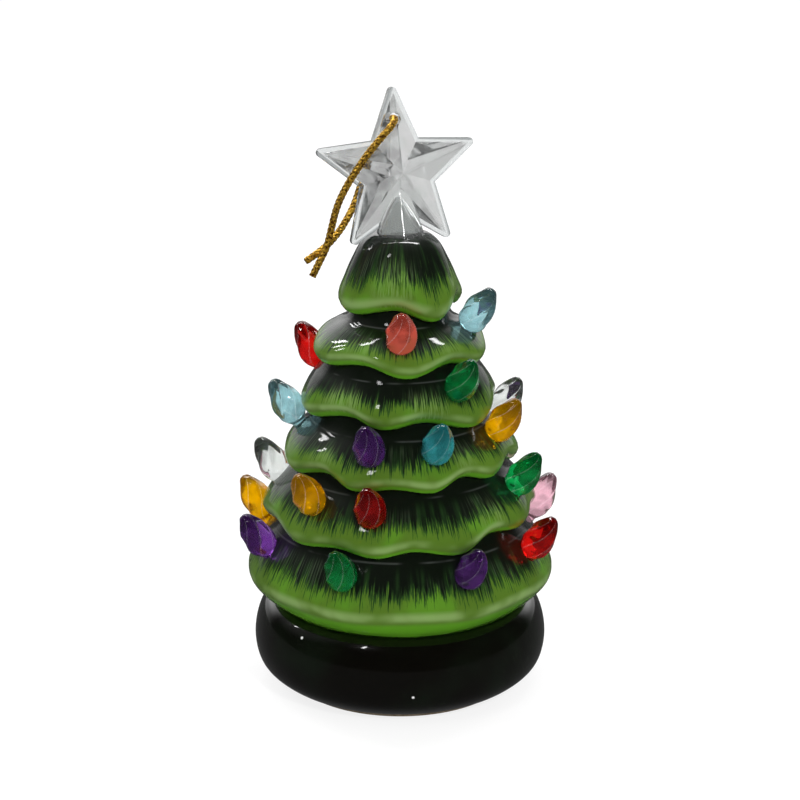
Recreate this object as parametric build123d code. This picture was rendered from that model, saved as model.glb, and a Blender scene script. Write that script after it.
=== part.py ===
# Ceramic Christmas tree: a glazed hollow tree on a round base, with coloured plastic bulbs,
# a clear faceted star, a gold hanging loop and a battery light in the underside.
# Millimetres, +Z up. The origin is the middle of the foot, on the table. The front faces -Y.
import os
from math import cos, pi, radians, sin, tan
from build123d import *

# Base
BASE_HEIGHT = 19.8
BASE_RADIUS = 32.2
BULGE_HEIGHT = 9.8
BASE_TOP_RADIUS = 28.2
FOOT_RADIUS = 24.4
FOOT_HEIGHT = 0.8
FOOT_STEP = 0.7
BELLY_SLOPE = 0.35
BASE_WALL = 4.2

# Tree: hem radius and hem height of each tier above the base, from the top tier down
HEM_RADIUS = (13.8, 19.2, 21.7, 25.8, 30.2, 33.7)
HEM_HEIGHT = (66.6, 56.3, 44.3, 33.0, 20.2, 6.2)
TREE_HEIGHT = 81.4
CROWN_RADIUS = 6.2
CROWN_WALL = 4.6
CROWN_BORE_INSET = 1.0
# Crown stations: share of the hem radius, share of the fall to the hem, share of the scallops
CROWN_STATIONS = ((0.59, 0.12, 0), (0.76, 0.40, 0.25), (0.9, 0.70, 0.7))
# Scallops of each tier: azimuth and rise of the crease before each, then the lift of its middle
SCALLOPS = (
    ((-5, 2.7, 0), (80, 2.6, 0.6), (135, 2.4, 0.4), (190, 2.4, 0.6), (245, 2.6, 1.0)),
    ((-28, 2.1, 0), (38, 2.0, 0.5), (95, 2.3, 0.6), (150, 2.2, 0.3), (205, 2.3, 0.6), (255, 2.2, 0.5)),
    ((-115, 2.6, 0.6), (-35, 3.0, 1.5), (14, 2.6, 0), (90, 2.4, 0.5), (128, 2.4, 0.3), (165, 2.4, 0.6),
     (205, 2.4, 0.4)),
    ((-95, 1.8, 0.1), (-42, 2.2, 0.1), (-3, 0.9, 0), (35, 2.1, 0.6), (70, 1.9, 0.5), (105, 2.0, 0.3),
     (142, 2.0, 0.6), (180, 2.0, 0.2), (218, 1.9, 0.4)),
    ((-110, 1.8, 0.6), (-68, 1.6, 0), (-28, 1.0, 0), (6, 1.3, 0), (45, 2.4, 1.5), (80, 2.2, 0.8),
     (118, 1.8, 0.4), (160, 1.8, 0.6), (205, 1.8, 0.3)),
    ((-135, 0.4, 0), (-90, 0.5, 0), (-45, 0.4, 0), (5, 0.4, 0), (50, 0.5, 0), (95, 0.4, 0),
     (140, 0.5, 0), (182, 0.4, 0)),
)
CREASE_DEPTH_SHARE = 0.55
SCALLOP_STATIONS = (0, 0.17, 0.33, 0.5, 0.67, 0.83)
LIP_DROP = 2.2
LIP_INSET = 1.7
GROOVE_INSET = 4.2
GROOVE_RISE = 0.8
GROOVE_HALF = 0.6
ROOT_DEPTH = 1.5
BROW_INSET = 2.2
BROW_DROP = 3.2
SHOULDER = (0.38, 0.30)
FLANK = (0.82, 0.70)
SHOULDER_SHARE = 0.3
FLANK_SHARE = 0.8
UNDERSIDE = (0.45, 0.60)
UNDERSIDE_SHARE = 0.6
TREE_FOOT_RADIUS = 27.6
TREE_WALL = 3.4
HEM_WALL = 6.0
SPIGOT_RADIUS = 22.0
SPIGOT_WALL = 3.0
SPIGOT_DEPTH = 3.0
SPIGOT_CLEARANCE = 0.1

# Bulbs: azimuth (0 faces the front, positive to the right), stand over the skin and colour, tier by tier
BULB_ROWS = (
    (),
    ((1, 0, "coral"), (80, 0.9, "aqua"), (180, 0, "amber")),
    ((39, 0.6, "green"), (150, 0, "purple"), (205, 0, "clear"), (249, 0.7, "red")),
    ((-92, 2.0, "aqua"), (-16, 0, "purple"), (19, 0.7, "teal"), (68, 0.7, "amber"),
     (104, 0.4, "clear"), (148, 0, "red"), (192, 0, "green"), (222, 0, "amber")),
    ((-95, 0, "clear"), (-43, 0.7, "amber"), (-13, 0, "red"), (70, 0.7, "green"),
     (142, 0, "purple"), (180, 0, "aqua"), (218, 0, "pink")),
    ((-107, 2.4, "amber"), (-69, 1.4, "purple"), (-23, 0, "green"), (28, 0, "purple"),
     (66, 1.4, "red"), (110, 2.2, "pink"), (155, 0, "green"), (205, 0, "red")),
)
BULB_RADIUS = 3.5
BULB_LENGTH = 9.8
BULB_COLLAR_RADIUS = 2.3
BULB_COLLAR_HEIGHT = 0.6
# Bulb stations: share of the length above the collar, share of the radius
BULB_STATIONS = ((0, 0.80), (0.12, 0.94), (0.30, 1), (0.50, 0.92), (0.70, 0.71), (0.87, 0.47), (1, 0.18))
BULB_FLUTES = 5
FLUTE_POINTS = 6
BULB_FLUTE_DEPTH = 0.22
BULB_TWIST = 110
# Seat of a bulb: shares of the way out and down a tier's skirt
BULB_PLACE = (0.43, 0.37)
BULB_PLACE_SHARE = 0.37
BULB_LIFT = 58
BULB_SINK = 0.4
PEG_RADIUS = 1.6
PEG_LENGTH = 7.0
PEG_CLEARANCE = 0.05
SEAT_CLEARANCE = 0.2
SEAT_HEADROOM = 1.0

# Star
STAR_ARMS = 5
STAR_RADIUS = 17.0
STAR_INNER_RADIUS = 7.5
STAR_RIM = 0.9
STAR_EDGE = 1.6
STAR_BULGE = 4.4
STAR_RISE = 12.9
STAR_LEAN = 1.0
STAR_PITCH = 9.0
STAR_TURN = 15.5
SOCKET_TOP_RADIUS = 1.8
SOCKET_FOOT_RADIUS = 5.2
SOCKET_BORE_RADIUS = 4.3
SOCKET_BORE_TIP = 0.5
SOCKET_BORE_HEIGHT = 8.3
SOCKET_FLOOR = 0.8
STAR_PEG_RADIUS = 3.4
STAR_PEG_BORE = 2.6
STAR_PEG_LENGTH = 5.0
STAR_PEG_CLEARANCE = 0.05
STAR_SINK = 0.9
CORD_HOLE_RADIUS = 1.25
CORD_HOLE_REACH = 11.3

# Hanging loop: routes right, front and up from a point over the star's seat, level with its middle
CORD_RADIUS = 0.8
ARC_SHARE = 0.45
FRONT_STRAND = (
    (-0.4, 0, 11.3), (-0.4, 3.9, 11.3), (-5.6, 4.0, 6.3), (-9.0, 3.9, 2.3), (-12.1, 3.2, -2.2),
    (-14.2, 2.4, -6.4), (-15.5, 1.7, -11.5), (-16.4, 1.2, -14.9), (-18.1, 0.9, -17.9),
    (-19.8, 0.6, -21.1),
)
BACK_STRAND = (
    (-0.4, 0, 11.3), (-0.4, -3.9, 11.3), (-2.4, -4.6, 6.6), (-4.8, -5.1, 1.6), (-7.1, -4.6, -2.9),
    (-8.6, -4.0, -6.5), (-10.7, -3.2, -9.7), (-13.1, -2.3, -12.6), (-16.7, -1.5, -15.7),
    (-20.6, -0.8, -17.7),
)

# Light in the underside
FLANGE_RADIUS = 18.8
FLANGE_THICKNESS = 1.6
FLANGE_RECESS = 2.2
FLANGE_CLEARANCE = 0.2
LEDGE_WIDTH = 1.9
LEDGE_THICKNESS = 3.0
CELL_RADIUS = 5.8
CELL_LENGTH = 5.4
CELL_COUNT = 3
CELL_CLEARANCE = 0.15
CELL_CAP_RADIUS = 4.9
CELL_CAP_HEIGHT = 0.8
BOX_WALL = 1.2
CONTACT_THICKNESS = 0.4
CONTACT_WIDTH = 5.0
SPRING_REACH = 3.6
SPRING_TOP = 4.1
SPRING_PAD = 1.2
SPRING_END = 2.9
PLATE_DROP = 3.5
BOARD_THICKNESS = 1.0
BOARD_WIDTH = 10.0
LED_RADIUS = 2.5
LED_HEIGHT = 8.6
LED_RIM = 0.4
LED_RIM_HEIGHT = 1.0
DOOR_CLEARANCE = 0.15
TAB_LENGTH = 1.4
TAB_THICKNESS = 1.0
TAB_WIDTH = 5.0
TAB_ROOT = 0.6
BOSS_RADIUS = 2.6
BOSS_OFFSET = 2.1
BOSS_HEIGHT = 5.0
BOSS_ROOF = 1.0
SCREW_RADIUS = 1.0
SCREW_HEAD_RADIUS = 2.1
SCREW_HEAD_HEIGHT = 1.0
SCREW_HEAD_ROUND = 0.5
SCREW_REACH = 3.0
CROSS_LENGTH = 2.7
CROSS_WIDTH = 0.6
CROSS_DEPTH = 0.6
SCREW_SWING_ROOM = 0.5
SWITCH_OFFSET = 12.0
SWITCH_LENGTH = 9.0
SWITCH_WIDTH = 4.6
SWITCH_HEIGHT = 4.2
SWITCH_WALL = 0.4
SWITCH_TRAVEL = 3.0
SWITCH_CLEARANCE = 0.2
SLIDER_HEIGHT = 2.1
KNOB_LENGTH = 2.2
KNOB_WIDTH = 2.0
KNOB_DROP = 1.0
KNOB_GROOVES = 3
KNOB_GROOVE_WIDTH = 0.36
KNOB_GROOVE_DEPTH = 0.3

# Places worked out from the sizes above
TIERS = range(len(HEM_RADIUS))
FRONT_TOP = BASE_HEIGHT + TREE_HEIGHT
FLANGE_TOP = FLANGE_RECESS + FLANGE_THICKNESS
STACK_END = CELL_COUNT * CELL_LENGTH / 2
CELL_AXIS = FLANGE_TOP + CELL_CLEARANCE + CELL_RADIUS
BOX_LEFT = -STACK_END - SPRING_REACH - 2 * CONTACT_THICKNESS
BOX_RIGHT = STACK_END + CONTACT_THICKNESS + CELL_CLEARANCE
BOX_HALF_WIDTH = CELL_RADIUS + CELL_CLEARANCE
BOX_CEILING = CELL_AXIS + CELL_RADIUS + CELL_CLEARANCE
BOX_TOP = BOX_CEILING + BOX_WALL
BOARD_TOP = BOX_TOP + BOARD_THICKNESS
BOSS_PLACE = BOX_RIGHT + BOX_WALL + BOSS_OFFSET
DOOR_HINGE = BOX_LEFT + TAB_LENGTH + 2 * DOOR_CLEARANCE
DOOR_END = BOSS_PLACE + BOSS_RADIUS
DOOR_TOP = FLANGE_TOP - DOOR_CLEARANCE


def polar(radius, azimuth, height):
    """Point at a radius and height, at an azimuth that is 0 towards the front."""
    return Vector(radius * sin(radians(azimuth)), -radius * cos(radians(azimuth)), height)


def scallops(tier):
    """First azimuth, width, rises of both creases and lift of the middle of each scallop of a tier."""
    row = SCALLOPS[tier]
    found = []
    for number, (start, rise, lift) in enumerate(row):
        end, end_rise, end_lift = row[(number + 1) % len(row)]
        found.append((start, (end - start) % 360, rise, end_rise, lift))
    return found


def wave(scallop, step, share):
    """Step inwards and rise of a tier at a step along one scallop, 0.5 in its middle."""
    start, width, start_rise, end_rise, lift = scallop
    crease = start_rise if step < 0.5 else end_rise
    fold = cos(pi * step) ** 2
    rise = fold * crease + (1 - fold) * lift
    return share * fold * crease * CREASE_DEPTH_SHARE, share * rise


def ring(tier, radius, height, share):
    """Closed wavy wire round a tier; share is how much of the scallops it shows."""
    points = []
    for scallop in scallops(tier):
        start, width = scallop[:2]
        for step in SCALLOP_STATIONS:
            inward, rise = wave(scallop, step, share)
            points.append(polar(radius - inward, start + step * width, height + rise))
    return Wire([Edge.make_spline(points, periodic=True)])


def hem(tier):
    """Radius and height of a tier's hem."""
    return HEM_RADIUS[tier], BASE_HEIGHT + HEM_HEIGHT[tier]


def groove(tier):
    """Radius and height of the groove under a tier's hem."""
    radius, height = hem(tier)
    return radius - GROOVE_INSET, height + GROOVE_RISE


def brow(tier):
    """Radius and height where a tier comes out from under the hem above it."""
    radius, height = hem(tier - 1)
    return radius - BROW_INSET, height - BROW_DROP


def skirt(tier, out, down):
    """Radius and height at shares of the way out and down from a tier's brow to its hem."""
    brow_radius, brow_height = brow(tier)
    radius, height = hem(tier)
    return brow_radius + out * (radius - brow_radius), brow_height + down * (height - brow_height)


def crown_rings():
    """Rings of the top tier, above its hem."""
    radius, height = hem(0)
    fall = FRONT_TOP - height
    rings = [ring(0, CROWN_RADIUS, FRONT_TOP, 0)]
    for out, down, share in CROWN_STATIONS:
        rings.append(ring(0, out * radius, FRONT_TOP - down * fall, share))
    return rings


def tier_solid(tier):
    """One scalloped tier, lofted from inside the core over its hem and back into the core."""
    radius, height = hem(tier)
    if tier == 0:
        rings = crown_rings()
    else:
        root_radius, root = groove(tier - 1)
        rings = [
            ring(tier, root_radius - ROOT_DEPTH, root - GROOVE_HALF, 0),
            ring(tier, *brow(tier), 0),
            ring(tier, *skirt(tier, *SHOULDER), SHOULDER_SHARE),
            ring(tier, *skirt(tier, *FLANK), FLANK_SHARE),
        ]
    rings.append(ring(tier, radius, height, 1))
    if tier == TIERS[-1]:
        inward, downward = UNDERSIDE
        rings.append(ring(tier, radius - inward * (radius - TREE_FOOT_RADIUS),
                          height - downward * HEM_HEIGHT[tier], UNDERSIDE_SHARE))
        rings.append(ring(tier, TREE_FOOT_RADIUS, BASE_HEIGHT, 0))
    else:
        root_radius, root = groove(tier)
        rings.append(ring(tier, radius - LIP_INSET, height - LIP_DROP, 1))
        rings.append(ring(tier, root_radius - ROOT_DEPTH, root + GROOVE_HALF, 0))
    return Solid.make_loft(rings)


def turned(outline):
    """Solid turned about the tree's axis from an outline of radii and heights."""
    with BuildPart() as turning:
        with BuildSketch(Plane.XZ):
            with BuildLine():
                Polyline(*outline, close=True)
            make_face()
        revolve(axis=Axis.Z)
    return turning.part.solid()


def core_solid():
    """Plain turned core that carries the tiers and closes the grooves between them."""
    outline = [(0, BASE_HEIGHT), (TREE_FOOT_RADIUS - ROOT_DEPTH, BASE_HEIGHT)]
    outline += [groove(tier) for tier in reversed(TIERS[:-1])]
    outline += [(CROWN_RADIUS - ROOT_DEPTH, FRONT_TOP - ROOT_DEPTH), (0, FRONT_TOP - ROOT_DEPTH)]
    return turned(outline)


def cavity_solid():
    """Inside of the hollow tree, following the tiers, open through the spigot."""
    bore = SPIGOT_RADIUS - SPIGOT_WALL
    spigot_end = BASE_HEIGHT - SPIGOT_DEPTH
    outline = [(0, spigot_end), (bore, spigot_end), (bore, BASE_HEIGHT)]
    for tier in reversed(TIERS):
        radius, height = hem(tier)
        outline.append((radius - HEM_WALL, height + GROOVE_RISE))
        if tier:
            radius, height = groove(tier - 1)
            outline.append((radius - TREE_WALL, height - TREE_WALL))
    outline.append((CROWN_RADIUS - CROWN_BORE_INSET, FRONT_TOP - CROWN_WALL))
    outline.append((0, FRONT_TOP - CROWN_WALL))
    return turned(outline)


def bulb_seat(tier, azimuth, stand):
    """Plane of a bulb's seat, on a tier's skirt or standing over it, facing out and up."""
    radius, height = skirt(tier, *BULB_PLACE)
    for scallop in scallops(tier):
        start, width = scallop[:2]
        turn = (azimuth - start) % 360
        if turn <= width:
            inward, rise = wave(scallop, turn / width, BULB_PLACE_SHARE)
    skin = polar(radius - inward, azimuth, height + rise)
    out = polar(cos(radians(BULB_LIFT)), azimuth, sin(radians(BULB_LIFT)))
    return Plane(skin + out * (stand - BULB_SINK), x_dir=polar(1, azimuth + 90, 0), z_dir=out)


def star_stand():
    """Place on top of the crown, turned and tipped back as the star stands."""
    return Location((0, 0, FRONT_TOP)) * Rotation(0, 0, STAR_TURN) * Rotation(-STAR_PITCH, 0, 0)


def star_seat():
    """Plane of the star's seat in the crown, leaned to the side as the star leans."""
    return Plane(star_stand() * Rotation(0, -STAR_LEAN, 0)).offset(-STAR_SINK)


def rod(plane, radius, start, end):
    """Round rod along a plane's normal, between two heights over the plane."""
    return Solid.make_cylinder(radius, end - start, plane.offset(start))


def bulb_places():
    """Node name and seat plane of every bulb, from the top row down."""
    places = []
    for tier, row in enumerate(BULB_ROWS):
        for azimuth, stand, colour in row:
            name = f"bulb_{len(places) + 1:02d}_{colour}"
            places.append((name, bulb_seat(tier, azimuth, stand)))
    return places


def tree_body():
    """Hollow glazed tree with its tiers, bulb seats, star seat and spigot."""
    body = core_solid().fuse(*[tier_solid(tier) for tier in TIERS])
    spigot = rod(Plane.XY, SPIGOT_RADIUS, BASE_HEIGHT - SPIGOT_DEPTH, BASE_HEIGHT)
    cuts = [cavity_solid()]
    for name, seat in bulb_places():
        cuts.append(rod(seat, BULB_RADIUS + SEAT_CLEARANCE, 0, BULB_LENGTH))
        cuts.append(rod(seat, PEG_RADIUS + PEG_CLEARANCE, -PEG_LENGTH - TREE_WALL, 0))
    seat = star_seat()
    cuts.append(rod(seat, SOCKET_FOOT_RADIUS + SEAT_CLEARANCE, 0, STAR_SINK + SEAT_HEADROOM))
    cuts.append(rod(seat, STAR_PEG_RADIUS + STAR_PEG_CLEARANCE, -CROWN_WALL - SEAT_HEADROOM, 0))
    return body.fuse(spigot).cut(*cuts)


def bulb_ring(radius, height, turn):
    """Closed wire of a bulb with its flutes turned about the bulb's axis."""
    count = FLUTE_POINTS * BULB_FLUTES
    points = []
    for step in range(count):
        angle = radians(360 * step / count)
        groove_share = 0.5 + 0.5 * cos(BULB_FLUTES * (angle - radians(turn)))
        reach = radius * (1 - BULB_FLUTE_DEPTH / BULB_RADIUS * groove_share)
        points.append(Vector(reach * cos(angle), reach * sin(angle), height))
    return Wire([Edge.make_spline(points, periodic=True)])


def bulb_solid():
    """Twisted flame bulb with its collar and peg, standing on its seat at the origin."""
    body = BULB_LENGTH - BULB_COLLAR_HEIGHT
    rings = [bulb_ring(wide * BULB_RADIUS, BULB_COLLAR_HEIGHT + along * body, along * BULB_TWIST)
             for along, wide in BULB_STATIONS]
    collar = rod(Plane.XY, BULB_COLLAR_RADIUS, 0, BULB_COLLAR_HEIGHT)
    peg = rod(Plane.XY, PEG_RADIUS, -PEG_LENGTH, 0)
    return Solid.make_loft(rings).fuse(collar, peg)


def tree_base():
    """Round glazed base with its unglazed foot, the light's rebate and the tree's opening."""
    with BuildPart() as base:
        with BuildSketch(Plane.XZ):
            with BuildLine():
                Polyline((0, BASE_HEIGHT), (0, 0), (FOOT_RADIUS, 0), (FOOT_RADIUS, FOOT_HEIGHT),
                         (FOOT_RADIUS + FOOT_STEP, FOOT_HEIGHT))
                Spline((FOOT_RADIUS + FOOT_STEP, FOOT_HEIGHT), (BASE_RADIUS, BULGE_HEIGHT),
                       tangents=((1, BELLY_SLOPE), (0, 1)))
                Spline((BASE_RADIUS, BULGE_HEIGHT), (BASE_TOP_RADIUS, BASE_HEIGHT),
                       tangents=((0, 1), (-1, 0)))
                Line((BASE_TOP_RADIUS, BASE_HEIGHT), (0, BASE_HEIGHT))
            make_face()
        revolve(axis=Axis.Z)
    cuts = (
        (FLANGE_RADIUS + FLANGE_CLEARANCE, 0, FLANGE_TOP),
        (FLANGE_RADIUS - LEDGE_WIDTH, 0, FLANGE_TOP + LEDGE_THICKNESS),
        (SPIGOT_RADIUS + BASE_WALL / 2, FLANGE_TOP + LEDGE_THICKNESS, BASE_HEIGHT - BASE_WALL),
        (SPIGOT_RADIUS + SPIGOT_CLEARANCE, FLANGE_TOP + LEDGE_THICKNESS, BASE_HEIGHT),
    )
    return base.part.solid().cut(*[rod(Plane.XY, *cut) for cut in cuts])


def star_outline():
    """Pointed wire round the star's facets, on the XZ plane."""
    half_arm = pi / STAR_ARMS
    points = []
    for number in range(STAR_ARMS):
        for radius, turn in ((STAR_RADIUS, 0), (STAR_INNER_RADIUS, half_arm)):
            angle = 2 * half_arm * number + turn
            points.append((radius * sin(angle), 0, radius * cos(angle)))
    return Wire.make_polygon(points)


def star_topper():
    """Clear faceted star with its hollow socket and peg, one moulding, with a hole for the cord."""
    rise = STAR_RISE + STAR_SINK
    middle = Location((0, 0, rise))
    outline = star_outline()
    flange = Face(outline.offset_2d(STAR_RIM))
    plate = Solid.extrude(flange, Vector(0, STAR_EDGE, 0)).moved(Location((0, -STAR_EDGE / 2, 0)))
    facets = []
    for side in (-1, 1):
        edge = outline.moved(Location((0, side * STAR_EDGE / 2, 0)))
        facets.append(Solid.make_loft([edge, Vertex(0, side * STAR_BULGE, 0)], ruled=True))
    star = plate.fuse(*facets).moved(middle)
    socket = Solid.make_cone(SOCKET_FOOT_RADIUS, SOCKET_TOP_RADIUS, rise)
    peg = rod(Plane.XY, STAR_PEG_RADIUS, -STAR_PEG_LENGTH, 0)
    bore = Solid.make_cone(SOCKET_BORE_RADIUS, SOCKET_BORE_TIP, SOCKET_BORE_HEIGHT - SOCKET_FLOOR,
                           Plane.XY.offset(SOCKET_FLOOR))
    peg_bore = rod(Plane.XY, STAR_PEG_BORE, -STAR_PEG_LENGTH, SOCKET_FLOOR)
    hole = Solid.make_cylinder(CORD_HOLE_RADIUS, 2 * STAR_BULGE,
                               Plane((0, -STAR_BULGE, rise + CORD_HOLE_REACH), z_dir=(0, 1, 0)))
    return star.fuse(socket, peg).cut(hole, bore, peg_bore).moved(star_seat().location)


def strand(route):
    """Round cord along straight runs joined by arcs as large as the runs allow."""
    stand = star_stand()
    points = [(stand * Location((right, -front, STAR_RISE + up))).position for right, front, up in route]
    radii = []
    for before, here, after in zip(points, points[1:], points[2:]):
        bend = radians((here - before).get_angle(after - here))
        radii.append(ARC_SHARE * min((here - before).length, (after - here).length) / tan(bend / 2))
    path = FilletPolyline(*points, radius=radii)
    print("strand radii", [round(radius, 1) for radius in radii], "length", round(path.length, 1))
    tube = sweep(Plane(points[0], z_dir=points[1] - points[0]) * Circle(CORD_RADIUS), path=path)
    section = pi * CORD_RADIUS**2
    print("volume over section times length", round(tube.volume / (section * path.length), 4))
    return tube.solid()


def block(x, y, z, rounding=0):
    """Box between pairs of limits along X, Y and Z, with its upright edges rounded."""
    box = Solid.make_box(x[1] - x[0], y[1] - y[0], z[1] - z[0], Plane((x[0], y[0], z[0])))
    if rounding:
        box = box.fillet(rounding, box.edges().filter_by(Axis.Z))
    return box


def across(half_width, middle=0):
    """Limits at equal distances from a middle."""
    return (middle - half_width, middle + half_width)


def contact_slots(low, high, clearance):
    """Places where the two contact strips pass up through the ceiling and the board."""
    half = CONTACT_THICKNESS / 2 + clearance
    return [block(across(half, place), across(CONTACT_WIDTH / 2 + clearance), (low, high))
            for place in (STACK_END + CONTACT_THICKNESS / 2, BOX_LEFT + CONTACT_THICKNESS)]


def light_housing():
    """Round flange with the cell box, the screw boss and the switch slot."""
    shell = rod(Plane.XY, FLANGE_RADIUS, FLANGE_RECESS, FLANGE_TOP)
    walls = block((BOX_LEFT - BOX_WALL, BOX_RIGHT + BOX_WALL), across(BOX_HALF_WIDTH + BOX_WALL),
                  (FLANGE_RECESS, BOX_TOP), BOX_WALL)
    boss = rod(Plane((BOSS_PLACE, 0, 0)), BOSS_RADIUS, FLANGE_RECESS, FLANGE_TOP + BOSS_HEIGHT)
    inside = block((BOX_LEFT, BOX_RIGHT), across(BOX_HALF_WIDTH), (FLANGE_TOP, BOX_CEILING))
    opening = block((DOOR_HINGE - DOOR_CLEARANCE, DOOR_END + DOOR_CLEARANCE), across(BOX_HALF_WIDTH),
                    (FLANGE_RECESS, FLANGE_TOP))
    pilot = rod(Plane((BOSS_PLACE, 0, 0)), SCREW_RADIUS + SCREW_SWING_ROOM, FLANGE_RECESS,
                FLANGE_TOP + BOSS_HEIGHT - BOSS_ROOF)
    slot = block(across((SWITCH_TRAVEL + KNOB_LENGTH) / 2 + SWITCH_CLEARANCE),
                 across(KNOB_WIDTH / 2 + SWITCH_CLEARANCE, -SWITCH_OFFSET), (FLANGE_RECESS, FLANGE_TOP))
    slots = contact_slots(BOX_CEILING, BOX_TOP, CELL_CLEARANCE)
    return shell.fuse(walls, boss).cut(inside, opening, pilot, slot, *slots)


def battery_door():
    """Flat door with a hooked tab at its hinge end and a screw hole at the other."""
    half = BOX_HALF_WIDTH - DOOR_CLEARANCE
    panel = block((DOOR_HINGE, DOOR_END), across(half), (FLANGE_RECESS, DOOR_TOP), BOX_WALL)
    tab_low = FLANGE_TOP + DOOR_CLEARANCE
    tab_top = tab_low + TAB_THICKNESS
    root = block((DOOR_HINGE, DOOR_HINGE + TAB_ROOT), across(TAB_WIDTH / 2), (DOOR_TOP, tab_top))
    tab = block((DOOR_HINGE - TAB_LENGTH, DOOR_HINGE), across(TAB_WIDTH / 2), (tab_low, tab_top))
    hole = rod(Plane((BOSS_PLACE, 0, 0)), SCREW_RADIUS + CELL_CLEARANCE, FLANGE_RECESS, DOOR_TOP)
    return panel.fuse(root, tab).cut(hole)


def door_screw():
    """Captive screw with a pan head and a cross recess."""
    axis = Plane((BOSS_PLACE, 0, 0))
    head = rod(axis, SCREW_HEAD_RADIUS, FLANGE_RECESS - SCREW_HEAD_HEIGHT, FLANGE_RECESS)
    head = head.fillet(SCREW_HEAD_ROUND, head.edges().sort_by(Axis.Z)[:1])
    shank = rod(axis, SCREW_RADIUS, FLANGE_RECESS, FLANGE_TOP + SCREW_REACH)
    head_face = FLANGE_RECESS - SCREW_HEAD_HEIGHT
    depth = (head_face, head_face + CROSS_DEPTH)
    cross = (block(across(CROSS_LENGTH / 2, BOSS_PLACE), across(CROSS_WIDTH / 2), depth),
             block(across(CROSS_WIDTH / 2, BOSS_PLACE), across(CROSS_LENGTH / 2), depth))
    return head.fuse(shank).cut(*cross)


def button_cell(number):
    """One button cell of the stack, with its narrower cap at one end."""
    start = -STACK_END + number * CELL_LENGTH
    end = Plane((start, 0, CELL_AXIS), z_dir=(1, 0, 0))
    can = rod(end, CELL_RADIUS, CELL_CAP_HEIGHT, CELL_LENGTH)
    return can.fuse(rod(end, CELL_CAP_RADIUS, 0, CELL_CAP_HEIGHT))


def contact_strip(*route):
    """Bent metal strip along a route of X and Z places."""
    profile = Plane.XZ * trace(Polyline(*route), CONTACT_THICKNESS)
    return extrude(profile, CONTACT_WIDTH / 2, both=True).solid()


def flat_contact():
    """Contact plate at the right end of the cells, with its tab through the board."""
    place = STACK_END + CONTACT_THICKNESS / 2
    return block(across(CONTACT_THICKNESS / 2, place), across(CONTACT_WIDTH / 2),
                 (CELL_AXIS - PLATE_DROP, BOARD_TOP + CONTACT_THICKNESS))


def spring_contact():
    """Bent leaf at the left end of the cells, with its tab through the board."""
    place = BOX_LEFT + CONTACT_THICKNESS
    touch = -STACK_END - CONTACT_THICKNESS / 2
    return contact_strip((place, BOARD_TOP + CONTACT_THICKNESS), (place, CELL_AXIS + SPRING_TOP),
                         (touch, CELL_AXIS + SPRING_PAD), (touch, CELL_AXIS),
                         (place + CONTACT_THICKNESS, CELL_AXIS - SPRING_END))


def light_board():
    """Circuit board on top of the cell box."""
    board = block((BOX_LEFT - BOX_WALL, BOX_RIGHT + BOX_WALL), across(BOARD_WIDTH / 2),
                  (BOX_TOP, BOARD_TOP), BOX_WALL)
    return board.cut(*contact_slots(BOX_TOP, BOARD_TOP, CELL_CLEARANCE))


def light_led():
    """Round LED standing on the board in the middle of the tree."""
    rim = LED_RADIUS + LED_RIM
    with BuildPart() as led:
        with BuildSketch(Plane.XZ):
            with BuildLine():
                Polyline((0, 0), (rim, 0), (rim, LED_RIM_HEIGHT), (LED_RADIUS, LED_RIM_HEIGHT),
                         (LED_RADIUS, LED_HEIGHT - LED_RADIUS))
                CenterArc((0, LED_HEIGHT - LED_RADIUS), LED_RADIUS, 0, 90)
                Line((0, LED_HEIGHT), (0, 0))
            make_face()
        revolve(axis=Axis.Z)
    return led.part.solid().moved(Location((0, 0, BOARD_TOP)))


def switch_can():
    """Sheet-metal can of the slide switch, open towards the flange."""
    height = (FLANGE_TOP, FLANGE_TOP + SWITCH_HEIGHT)
    can = block(across(SWITCH_LENGTH / 2), across(SWITCH_WIDTH / 2, -SWITCH_OFFSET), height)
    inside = block(across(SWITCH_LENGTH / 2 - SWITCH_WALL),
                   across(SWITCH_WIDTH / 2 - SWITCH_WALL, -SWITCH_OFFSET),
                   (height[0], height[1] - SWITCH_WALL))
    return can.cut(inside)


def switch_knob():
    """Slider of the switch with its ribbed knob through the flange, at the off end."""
    place = -SWITCH_TRAVEL / 2
    half_plate = (SWITCH_LENGTH - SWITCH_TRAVEL) / 2 - SWITCH_WALL - SWITCH_CLEARANCE
    half_width = SWITCH_WIDTH / 2 - SWITCH_WALL - SWITCH_CLEARANCE
    low = FLANGE_TOP + SWITCH_CLEARANCE / 2
    plate = block(across(half_plate, place), across(half_width, -SWITCH_OFFSET), (low, low + SLIDER_HEIGHT))
    knob_end = FLANGE_RECESS - KNOB_DROP
    knob = block(across(KNOB_LENGTH / 2, place), across(KNOB_WIDTH / 2, -SWITCH_OFFSET), (knob_end, low))
    grooves = []
    for number in range(KNOB_GROOVES):
        middle = place - KNOB_LENGTH / 2 + KNOB_LENGTH * (number + 1) / (KNOB_GROOVES + 1)
        grooves.append(block(across(KNOB_GROOVE_WIDTH / 2, middle), across(KNOB_WIDTH, -SWITCH_OFFSET),
                             (knob_end, knob_end + KNOB_GROOVE_DEPTH)))
    return plate.fuse(knob).cut(*grooves)


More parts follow.
